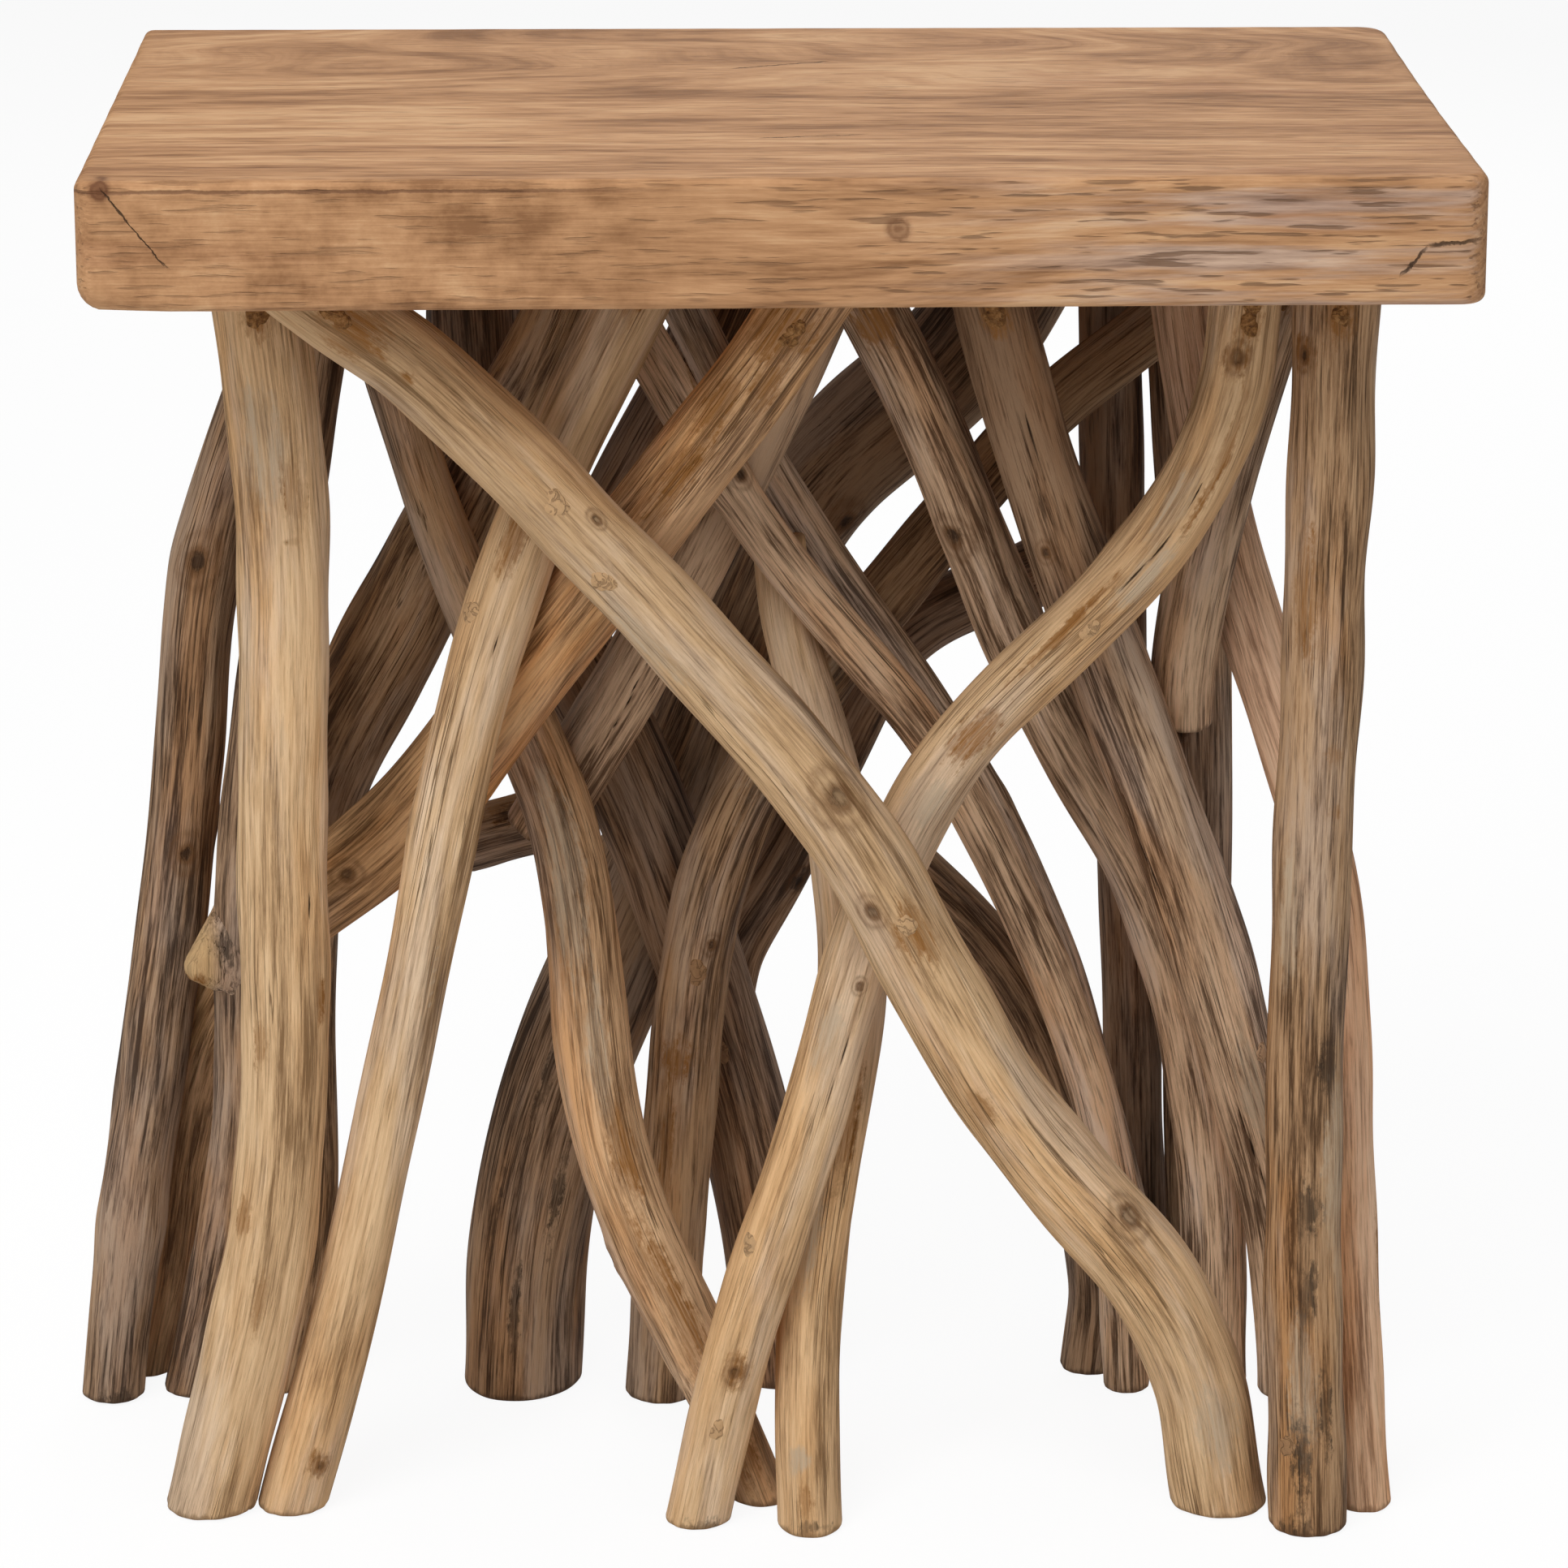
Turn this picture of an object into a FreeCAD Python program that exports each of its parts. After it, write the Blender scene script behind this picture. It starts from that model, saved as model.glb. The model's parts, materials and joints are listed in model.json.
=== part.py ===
import FreeCAD, Part
import Sketcher
import math
import os

os.makedirs("parts", exist_ok=True)
doc = FreeCAD.newDocument("branch_table")
sheet = doc.addObject("Spreadsheet::Sheet", "Sizes")
vec = FreeCAD.Vector
back = vec(0, 1, 0)

# sizes of the table as a whole, in millimetres
sizes = {
    "table_height": 500,
    "slab_length": 464,
    "slab_depth": 294,
    "slab_thickness": 43.5,
    "slab_front_slant": 5,
    "slab_corner_radius": 9,
    "slab_edge_radius": 3.5,
    "right_end_hollow": 4.5,
    "slab_shift": 14.6,
    "base_width_share": 0.862,
    "base_depth_share": 0.68,
    "stub_girth": 21,
    "stub_length": 24,
    "shank_diameter": 4,
    "screw_head_diameter": 7,
    "screw_head_height": 3,
    "top_screw_length": 36,
    "top_screw_drop": 20,
    "cross_screw_length": 30,
    "cross_screw_bite": 11,
    "filler_depth": 1,
    "hole_clearance": 0.2,
}

# thickest place of each branch, in millimetres
girths = {
    "front_left_post": 33,
    "front_right_post": 30,
    "long_front_diagonal": 33,
    "s_curve_branch": 26,
    "slender_left_branch": 27,
    "bowed_inner_branch": 27,
    "centre_upright": 26,
    "long_left_diagonal": 34,
    "stubbed_left_leg": 24,
    "grey_cross_brace": 26,
    "pale_slender_branch": 18,
    "knotted_branch": 25,
    "wide_right_diagonal": 30,
    "short_top_right_branch": 25,
    "tan_right_leg": 24,
    "dark_slender_branch": 18,
    "long_rear_diagonal": 27,
    "grey_left_slant": 37,
    "dark_left_slant": 35,
    "upper_rear_brace": 27,
    "back_right_leg": 24,
    "back_right_upright": 25,
    "back_left_leg": 26,
    "thick_rear_leg": 46,
    "low_rear_brace": 25,
    "low_left_brace": 24,
    "low_grey_slant": 25,
}
for name in girths:
    sizes[name + "_girth"] = girths[name]

for i, alias in enumerate(sizes):
    sheet.set("A%d" % (i + 1), alias)
    sheet.set("B%d" % (i + 1), str(sizes[alias]))
    sheet.setAlias("B%d" % (i + 1), alias)
doc.recompute()


def get(alias):
    return float(sheet.get(alias))


legHeight = get("table_height") - get("slab_thickness")
halfWidth = get("slab_length") * get("base_width_share") / 2
halfDepth = get("slab_depth") * get("base_depth_share") / 2
shift = get("slab_shift")
slack = get("hole_clearance")
branches = {}


def frameAt(point, along):
    # local Z runs along the branch or screw, local X stays towards the back
    zAxis = vec(along).normalize()
    side = back if abs(zAxis.y) < 0.95 else vec(1, 0, 0)
    xAxis = (side - zAxis * side.dot(zAxis)).normalize()
    turn = FreeCAD.Rotation(xAxis, zAxis.cross(xAxis), zAxis, "ZXY")
    return FreeCAD.Placement(point, turn)


def branch(name, route, foot=True, head=True):
    # each station: sideways and depth as shares of the base, height, share of the girth
    thick = get(name + "_girth")
    points = []
    shares = []
    for across, deep, high, share in route:
        points.append(vec(shift + across * halfWidth, deep * halfDepth, high * legHeight))
        shares.append(share)
    # ends run on past the floor and the slab and are trimmed off flat
    if foot:
        lean = (points[0] - points[1]).normalize()
        points.insert(0, points[0] + lean * (thick * 0.8 / max(-lean.z, 0.3)))
        shares.insert(0, shares[0])
    if head:
        lean = (points[-1] - points[-2]).normalize()
        points.append(points[-1] + lean * (thick * 0.8 / max(lean.z, 0.3)))
        shares.append(shares[-1])
    rings = []
    for i, point in enumerate(points):
        before = points[max(i - 1, 0)]
        after = points[min(i + 1, len(points) - 1)]
        ring = doc.addObject("Part::Circle", "%s_ring_%d" % (name, i + 1))
        ring.setExpression("Radius", "Sizes.%s_girth * %g / 2" % (name, shares[i]))
        ring.Placement = frameAt(point, after - before)
        rings.append(ring)
    loft = doc.addObject("Part::Loft", name + "_loft")
    loft.Sections = rings
    loft.Solid = True
    space = doc.addObject("Part::Box", name + "_space")
    space.Length = 1000
    space.Width = 1000
    space.setExpression("Height", "Sizes.table_height - Sizes.slab_thickness")
    space.Placement.Base = vec(-500, -500, 0)
    trimmed = doc.addObject("Part::Common", name + "_trimmed")
    trimmed.Base = loft
    trimmed.Tool = space
    branches[name] = {"solid": trimmed, "loft": loft, "head": head, "tools": []}


# branches seen in front
branch("front_left_post", [
    (-1.03, -.61, 0, .98), (-.91, -.65, .22, .95), (-.88, -.65, .33, .94),
    (-.87, -.63, .57, .95), (-.86, -.60, .80, .97), (-.90, -.57, 1, 1)])
branch("front_right_post", [
    (.94, -.85, 0, .93), (.92, -.78, .31, .90), (.93, -.72, .62, .92), (.95, -.61, 1, 1)])
branch("long_front_diagonal", [
    (.79, -.65, 0, 1), (.75, -.70, .10, 1.01), (.69, -.73, .17, 1.02), (.42, -.82, .33, 1),
    (.07, -.90, .60, .95), (-.08, -.90, .68, .93), (-.45, -.90, .86, .90), (-.82, -.92, 1, .87)])
branch("s_curve_branch", [
    (-.15, -.77, 0, .90), (-.05, -.70, .18, .90), (.06, -.65, .33, .90), (.18, -.59, .51, .92),
    (.30, -.57, .61, .92), (.67, -.57, .79, .95), (.79, -.59, .93, .98), (.80, -.61, 1, .98)])
branch("slender_left_branch", [
    (-.88, -.62, 0, .92), (-.76, -.60, .20, .87), (-.62, -.63, .49, .86),
    (-.52, -.59, .68, .91), (-.42, -.54, .81, .94), (-.21, -.45, 1, .98)])

# branches in the middle of the base
branch("bowed_inner_branch", [
    (-.04, -.58, 0, .88), (-.10, -.49, .07, .91), (-.30, -.25, .26, 1), (-.39, -.01, .52, .93),
    (-.465, .02, .61, .86), (-.55, .02, .70, .78), (-.62, -.02, .79, .71), (-.755, -.11, 1, .68)])
branch("centre_upright", [
    (.05, -.84, 0, .89), (.045, -.67, .10, .89), (.095, -.42, .295, .90), (.13, -.26, .42, .97),
    (.08, -.09, .58, .85), (0, .02, .75, .80)], head=False)
branch("long_left_diagonal", [
    (-1.20, .70, 0, .60), (-1.13, .56, .16, .66), (-1.03, .34, .345, .80), (-.725, -.02, .50, 1),
    (-.42, -.37, .68, .93), (-.12, -.73, .87, .86), (.07, -.94, 1, .81)])
branch("stubbed_left_leg", [
    (-1.10, .50, 0, .92), (-.98, .09, .27, .95), (-.95, -.10, .49, .97),
    (-.90, -.08, .67, .94), (-.80, .14, .94, .88), (-.78, .18, 1, .87)])
branch("grey_cross_brace", [
    (-.435, .27, .495, .98), (-.34, .20, .57, .99), (-.285, .15, .615, .99),
    (-.09, .01, .79, 1), (.13, 0, 1, 1.02)], foot=False)
branch("pale_slender_branch", [
    (.66, .47, 0, 1), (.61, .25, .22, .97), (.36, -.04, .52, .94), (.26, -.10, .60, .94),
    (.08, -.16, .70, .95), (-.33, -.26, 1, .97)])
branch("knotted_branch", [
    (.83, .52, 0, .96), (.80, .34, .21, .97), (.75, .24, .34, .98), (.655, .14, .47, .97),
    (.545, .06, .56, .97), (.30, -.13, .81, .96), (.09, -.25, 1, .92)])
branch("wide_right_diagonal", [
    (.97, .44, 0, .90), (.925, .21, .18, .92), (.845, .07, .31, .95), (.715, -.13, .50, .98),
    (.58, -.26, .66, .98), (.34, -.45, 1, .86)])
branch("short_top_right_branch", [
    (.715, -.05, .605, .92), (.765, -.22, .79, .95), (.895, -.27, 1, .96)], foot=False)
branch("tan_right_leg", [
    (1.045, -.65, 0, .93), (1.01, -.29, .31, .96), (.975, -.13, .49, .97),
    (.80, .01, .74, .97), (.69, .08, 1, .95)])

# branches at the back
branch("dark_slender_branch", [
    (.73, .66, 0, 1), (.62, .44, .21, .97), (.435, .21, .47, .94), (.235, .15, .63, .92),
    (.06, .18, .74, .92), (-.25, .26, 1, .90)])
branch("long_rear_diagonal", [
    (-.22, .43, 0, .97), (-.17, .31, .31, .98), (-.115, .31, .455, .97), (.04, .34, .595, .92),
    (.275, .37, .725, .86), (.535, .34, .855, .82), (.76, .31, .94, .79), (.84, .31, 1, .79)])
branch("grey_left_slant", [
    (-.94, .52, 0, .61), (-.875, .49, .36, .64), (-.81, .42, .55, .95), (-.675, .34, .665, 1),
    (-.565, .25, .77, .86), (-.46, .17, .86, .69), (-.33, .05, 1, .66)])
branch("dark_left_slant", [
    (.01, .61, 0, .98), (-.03, .63, .16, 1), (-.11, .625, .305, .99), (-.20, .605, .435, .98),
    (-.325, .57, .575, .97), (-.46, .54, .70, .96), (-.53, .52, .83, .97), (-.56, .49, 1, .96)])
branch("upper_rear_brace", [
    (-.35, .62, .69, .97), (-.21, .62, .81, .98), (-.125, .62, .885, .98), (-.025, .60, 1, .97)], foot=False)
branch("back_right_leg", [
    (.70, .90, 0, .88), (.655, .70, .40, .92), (.62, .65, .67, .95), (.60, .60, 1, .98)])
branch("back_right_upright", [
    (.81, .80, 0, .94), (.785, .62, .27, .97), (.775, .51, .52, 1), (.70, .58, 1, .90)])
branch("back_left_leg", [
    (-1.25, .45, 0, .86), (-1.20, .30, .16, .93), (-1.09, .14, .465, .97), (-1.05, .18, .63, .97),
    (-1.02, .22, .725, .98), (-.935, .30, .845, .94), (-.82, .43, 1, .92)])
branch("thick_rear_leg", [
    (-.485, .58, 0, .98), (-.415, .80, .22, .98), (-.295, .95, .355, .97), (-.145, 1, .515, .90),
    (-.015, 1, .66, .87), (.09, .99, .745, .94), (.21, .98, .795, 1), (.41, .98, .895, 1),
    (.60, .97, 1, .95)])
branch("low_rear_brace", [
    (-.105, .925, .30, .98), (-.015, .92, .405, 1), (.115, .88, .53, .99), (.235, .84, .62, .99),
    (.35, .80, .655, .98), (.56, .74, .70, .98)], foot=False, head=False)
branch("low_left_brace", [
    (-.58, .51, .47, .97), (-.46, .51, .485, .97), (-.365, .51, .495, .97)], foot=False, head=False)
branch("low_grey_slant", [
    (.065, .65, .515, .94), (.26, .64, .43, .96), (.36, .64, .385, .97), (.475, .65, .305, .97),
    (.575, .66, .175, .95), (.62, .70, 0, .92)], head=False)
doc.recompute()


def centreLine(loft):
    # centre point and radius at many places along the lofted skin
    skin = max(loft.Shape.Faces, key=lambda face: face.Area)
    u0, u1, v0, v1 = skin.ParameterRange
    line = []
    for i in range(161):
        v = v0 + (v1 - v0) * i / 160
        ring = [skin.valueAt(u0 + (u1 - u0) * k / 6, v) for k in range(6)]
        middle = sum(ring, vec()) * (1 / 6)
        radius = sum((point - middle).Length for point in ring) / 6
        if -2 <= middle.z <= legHeight + 2:
            line.append((middle, radius))
    return line


def nearest(first, second):
    # least room between two skins: a coarse look, then a close one round the best place
    best = (1e9, 0, 0)
    for step in (6, 1):
        near = 1 if step == 1 else 1000
        for i in range(max(best[1] - 7 * near, 0), min(best[1] + 8 * near, len(first)), step):
            for j in range(max(best[2] - 7 * near, 0), min(best[2] + 8 * near, len(second)), step):
                room = first[i][0].distanceToPoint(second[j][0]) - first[i][1] - second[j][1]
                if room < best[0]:
                    best = (room, i, j)
    return best[0], first[best[1]], second[best[2]]


for name in branches:
    branches[name]["line"] = centreLine(branches[name]["loft"])

# the broken-off side limb on the leg at the left
leg = branches["stubbed_left_leg"]
base = min(leg["line"], key=lambda place: abs(place[0].z - 0.43 * legHeight))[0]
stub = doc.addObject("Part::Cone", "side_limb_stub")
stub.setExpression("Radius1", "Sizes.stub_girth / 2")
stub.setExpression("Radius2", "Sizes.stub_girth * 0.43")
stub.setExpression("Height", "Sizes.stub_length")
stub.Placement = frameAt(base, vec(-.85, -.45, .25))
grown = doc.addObject("Part::Fuse", "stubbed_left_leg_grown")
grown.Base = leg["solid"]
grown.Tool = stub
leg["solid"] = grown

# a branch that would run into an earlier one is notched round it
names = list(branches)
for i, name in enumerate(names):
    for other in names[:i]:
        room = nearest(branches[other]["line"], branches[name]["line"])[0]
        if room < 0.1:
            notched = doc.addObject("Part::Cut", "%s_round_%s" % (name, other))
            notched.Base = branches[name]["solid"]
            notched.Tool = branches[other]["loft"]
            branches[name]["solid"] = notched
doc.recompute()


def cylinder(name, diameter, height, start, along):
    rod = doc.addObject("Part::Cylinder", name)
    rod.setExpression("Radius", "(%s) / 2" % diameter)
    rod.setExpression("Height", height)
    rod.Placement = frameAt(start, along)
    return rod


slabDrills = []
fillers = []
screws = {"top": [], "cross": []}


def drive(kind, name, entry, along, deep, front, behind):
    # the screw head sits deep below the skin, the hole is stepped and filler covers the head
    along = vec(along).normalize()
    seat = entry + along * deep
    shank = "Sizes.shank_diameter + 2 * Sizes.hole_clearance"
    wide = "Sizes.screw_head_diameter + 2 * Sizes.hole_clearance"
    long = "Sizes.%s_screw_length + Sizes.hole_clearance" % kind
    hole = cylinder(name + "_hole", shank, long, seat, along)
    well = cylinder(name + "_well", wide, "%g mm" % (deep + 12), seat, along * -1)
    branches[front]["tools"] += [hole, well]
    if behind is None:
        slabDrills.append((seat, along))
    else:
        branches[behind]["tools"].append(hole)
    outer = seat - along * get("screw_head_height")
    plug = cylinder(name + "_plug", "Sizes.screw_head_diameter", "%g mm" % (deep + 9), outer, along * -1)
    filler = doc.addObject("Part::Common", name + "_filler")
    filler.Base = branches[front]["solid"]
    filler.Tool = plug
    fillers.append(filler)
    screws[kind].append(frameAt(seat, along))


# one screw slants up out of the side of each branch into the slab, from the back for the rear ones
for name in branches:
    item = branches[name]
    if not item["head"]:
        continue
    top = min(item["line"], key=lambda place: abs(place[0].z - legHeight))[0]
    low = min(item["line"], key=lambda place: abs((place[0] - top).Length - get("top_screw_drop")))
    lean = (top - low[0]).normalize()
    side = (back - lean * back.dot(lean)).normalize()
    if top.y < 0.4 * halfDepth:
        side = side * -1
    entry = low[0] + side * low[1]
    slant = (top - entry).getAngle(lean)
    cover = get("screw_head_diameter") / 2 * math.cos(slant) + get("filler_depth")
    deep = get("screw_head_height") + cover / math.sin(slant)
    drive("top", name + "_top", entry, top - entry, deep, name, None)

# crossings that are screwed together, the branch with the screw head first
crossings = [
    ("long_front_diagonal", "s_curve_branch"),
    ("long_front_diagonal", "slender_left_branch"),
    ("long_front_diagonal", "long_left_diagonal"),
    ("slender_left_branch", "long_left_diagonal"),
    ("long_left_diagonal", "bowed_inner_branch"),
    ("s_curve_branch", "wide_right_diagonal"),
    ("s_curve_branch", "centre_upright"),
    ("s_curve_branch", "bowed_inner_branch"),
    ("stubbed_left_leg", "long_left_diagonal"),
    ("wide_right_diagonal", "knotted_branch"),
    ("front_right_post", "tan_right_leg"),
    ("long_rear_diagonal", "dark_left_slant"),
    ("dark_left_slant", "low_rear_brace"),
    ("low_left_brace", "grey_cross_brace"),
    ("low_grey_slant", "low_rear_brace"),
]
for front, behind in crossings:
    # kept clear of the floor and of the screws near the slab
    spans = []
    for name in (front, behind):
        spans.append([place for place in branches[name]["line"] if 30 < place[0].z < legHeight - 50])
    room, near, far = nearest(spans[0], spans[1])
    along = (far[0] - near[0]).normalize()
    entry = near[0] - along * near[1]
    tip = far[0] - along * (far[1] - get("cross_screw_bite"))
    deep = (tip - entry).Length - get("cross_screw_length")
    deep = max(deep, get("screw_head_height") + get("filler_depth"))
    drive("cross", "%s_to_%s" % (front, behind), entry, along, deep, front, behind)

# holes drilled in every branch
for name in branches:
    item = branches[name]
    final = item["solid"]
    if item["tools"]:
        drills = item["tools"][0]
        if len(item["tools"]) > 1:
            drills = doc.addObject("Part::MultiFuse", name + "_drills")
            drills.Shapes = item["tools"]
        final = doc.addObject("Part::Cut", name)
        final.Base = item["solid"]
        final.Tool = drills
    final.Label = name
    item["final"] = final


def screwGroup(kind, label):
    # head, shank and point made once, then set at every place
    head = cylinder(kind + "_screw_head", "Sizes.screw_head_diameter", "Sizes.screw_head_height",
                    vec(0, 0, 0), vec(0, 0, -1))
    shank = cylinder(kind + "_screw_shank", "Sizes.shank_diameter",
                     "Sizes.%s_screw_length - Sizes.shank_diameter" % kind, vec(0, 0, 0), vec(0, 0, 1))
    point = doc.addObject("Part::Cone", kind + "_screw_point")
    point.setExpression("Radius1", "Sizes.shank_diameter / 2")
    point.setExpression("Radius2", "Sizes.shank_diameter / 16")
    point.setExpression("Height", "Sizes.shank_diameter")
    point.setExpression("Placement.Base.z", "Sizes.%s_screw_length - Sizes.shank_diameter" % kind)
    screw = doc.addObject("Part::MultiFuse", kind + "_screw")
    screw.Shapes = [head, shank, point]
    doc.recompute()
    placed = []
    for place in screws[kind]:
        one = screw.Shape.copy()
        one.Placement = place
        placed.append(one)
    group = doc.addObject("Part::Feature", label)
    group.Shape = Part.makeCompound(placed)
    group.Label = label
    return group


topScrews = screwGroup("top", "top_screws")
crossScrews = screwGroup("cross", "crossing_screws")
fillerGroup = doc.addObject("Part::Compound", "screw_fillers")
fillerGroup.Links = fillers
fillerGroup.Label = "screw_fillers"

# the slab, drawn flat on its underside with a gently hollow right end
slab = doc.addObject("PartDesign::Body", "slab_top")
slab.Label = "slab_top"
slab.Placement.Base = vec(shift, 0, legHeight)
floorPlane = [item for item in slab.Origin.OriginFeatures if item.Role == "XY_Plane"][0]
outline = slab.newObject("Sketcher::SketchObject", "slab_outline")
outline.AttachmentSupport = [(floorPlane, "")]
outline.MapMode = "FlatFace"
halfLong = get("slab_length") / 2
halfDeep = get("slab_depth") / 2
hollow = get("right_end_hollow")
slant = get("slab_front_slant")
corners = [vec(-halfLong, -halfDeep), vec(halfLong, slant - halfDeep)]
corners += [vec(halfLong, halfDeep), vec(-halfLong, halfDeep)]
frontEdge = outline.addGeometry(Part.LineSegment(corners[0], corners[1]))
rightEnd = outline.addGeometry(Part.Arc(corners[2], vec(halfLong - hollow, slant / 2), corners[1]))
backEdge = outline.addGeometry(Part.LineSegment(corners[2], corners[3]))
leftEnd = outline.addGeometry(Part.LineSegment(corners[3], corners[0]))
join = Sketcher.Constraint
outline.addConstraint(join("Coincident", frontEdge, 2, rightEnd, 2))
outline.addConstraint(join("Coincident", rightEnd, 1, backEdge, 1))
outline.addConstraint(join("Coincident", backEdge, 2, leftEnd, 1))
outline.addConstraint(join("Coincident", leftEnd, 2, frontEdge, 1))
outline.addConstraint(join("Horizontal", backEdge))
outline.addConstraint(join("Vertical", leftEnd))
outline.addConstraint(join("Symmetric", frontEdge, 1, backEdge, 1, -1, 1))
longSize = outline.addConstraint(join("DistanceX", frontEdge, 1, frontEdge, 2, 2 * halfLong))
deepSize = outline.addConstraint(join("DistanceY", frontEdge, 1, leftEnd, 1, 2 * halfDeep))
slantSize = outline.addConstraint(join("DistanceY", frontEdge, 1, frontEdge, 2, slant))
sweep = outline.addConstraint(join("Radius", rightEnd, (2 * halfDeep - slant) ** 2 / hollow / 8 + hollow / 2))
outline.setExpression("Constraints[%d]" % longSize, "Sizes.slab_length")
outline.setExpression("Constraints[%d]" % deepSize, "Sizes.slab_depth")
outline.setExpression("Constraints[%d]" % slantSize, "Sizes.slab_front_slant")
chord = "(Sizes.slab_depth - Sizes.slab_front_slant)"
outline.setExpression("Constraints[%d]" % sweep,
                      chord + " ^ 2 / Sizes.right_end_hollow / 8 + Sizes.right_end_hollow / 2")
board = slab.newObject("PartDesign::Pad", "slab_board")
board.Profile = outline
board.setExpression("Length", "Sizes.slab_thickness")
doc.recompute()


def edgeNames(feature, wanted):
    # names of the edges whose two ends pass the test
    found = []
    for i, edge in enumerate(feature.Shape.Edges):
        if wanted(edge.Vertexes[0].Point, edge.Vertexes[-1].Point):
            found.append("Edge%d" % (i + 1))
    return found


cornerRound = slab.newObject("PartDesign::Fillet", "slab_corners")
cornerRound.Base = (board, edgeNames(board, lambda a, b: abs(a.z - b.z) > 1))
cornerRound.setExpression("Radius", "Sizes.slab_corner_radius")
doc.recompute()
edgeRound = slab.newObject("PartDesign::Fillet", "slab_edges")
edgeRound.Base = (cornerRound, edgeNames(cornerRound, lambda a, b: abs(a.z - b.z) < 0.01))
edgeRound.setExpression("Radius", "Sizes.slab_edge_radius")
for i, (seat, along) in enumerate(slabDrills):
    pilot = slab.newObject("PartDesign::SubtractiveCylinder", "slab_pilot_%d" % (i + 1))
    pilot.setExpression("Radius", "Sizes.shank_diameter / 2 + Sizes.hole_clearance")
    pilot.setExpression("Height", "Sizes.top_screw_length + Sizes.hole_clearance")
    pilot.Placement = frameAt(seat - slab.Placement.Base, along)
doc.recompute()

nodes = [slab] + [branches[name]["final"] for name in branches] + [topScrews, crossScrews, fillerGroup]
for item in doc.Objects:
    if "Invalid" in item.State or "Error" in item.State:
        raise RuntimeError("%s did not build" % item.Name)
for node in nodes:
    if node.Shape.isNull() or not node.Shape.isValid():
        raise RuntimeError("%s has no sound shape" % node.Label)
    node.Shape.exportStep("parts/%s.step" % node.Label)
print("%d nodes written" % len(nodes))
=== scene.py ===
import json
import math

import bmesh
import bpy
import numpy as np
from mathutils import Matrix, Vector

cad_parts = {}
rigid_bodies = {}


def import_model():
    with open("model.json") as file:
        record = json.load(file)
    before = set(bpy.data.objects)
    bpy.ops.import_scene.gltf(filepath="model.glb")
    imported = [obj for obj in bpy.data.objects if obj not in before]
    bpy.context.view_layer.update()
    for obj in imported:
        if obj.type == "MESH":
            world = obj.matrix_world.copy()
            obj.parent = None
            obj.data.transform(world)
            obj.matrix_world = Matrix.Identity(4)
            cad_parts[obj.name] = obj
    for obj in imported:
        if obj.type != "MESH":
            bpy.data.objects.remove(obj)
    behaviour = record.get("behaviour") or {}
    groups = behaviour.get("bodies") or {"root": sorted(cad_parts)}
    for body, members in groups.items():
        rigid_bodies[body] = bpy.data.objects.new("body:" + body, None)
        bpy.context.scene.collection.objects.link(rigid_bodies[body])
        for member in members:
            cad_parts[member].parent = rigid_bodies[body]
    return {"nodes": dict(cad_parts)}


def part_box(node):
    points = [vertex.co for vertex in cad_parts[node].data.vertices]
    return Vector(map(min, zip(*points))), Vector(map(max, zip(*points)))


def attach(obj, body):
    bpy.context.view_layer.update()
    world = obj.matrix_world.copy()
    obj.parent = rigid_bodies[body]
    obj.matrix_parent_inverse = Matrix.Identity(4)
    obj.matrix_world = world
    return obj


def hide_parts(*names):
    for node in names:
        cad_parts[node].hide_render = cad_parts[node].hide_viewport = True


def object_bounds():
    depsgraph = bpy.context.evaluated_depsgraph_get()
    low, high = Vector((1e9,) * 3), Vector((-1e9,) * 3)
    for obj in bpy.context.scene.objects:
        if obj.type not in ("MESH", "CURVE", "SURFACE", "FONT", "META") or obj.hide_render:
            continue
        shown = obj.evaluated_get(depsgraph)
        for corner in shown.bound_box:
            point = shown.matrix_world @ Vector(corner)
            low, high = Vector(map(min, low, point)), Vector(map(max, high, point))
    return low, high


for spare in list(bpy.data.objects):
    bpy.data.objects.remove(spare)
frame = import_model()
cadBox = [list(corner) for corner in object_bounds()]
boxLow = np.array(cadBox[0])
boxHigh = np.array(cadBox[1])
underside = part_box("slab_top")[0].z      # the sawn branch tops meet the slab here
mm = 0.001
fullTurn = 6.28                               # radians in a turn, as the waves use it
print("frame loaded:", len(frame["nodes"]), "nodes")


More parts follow.
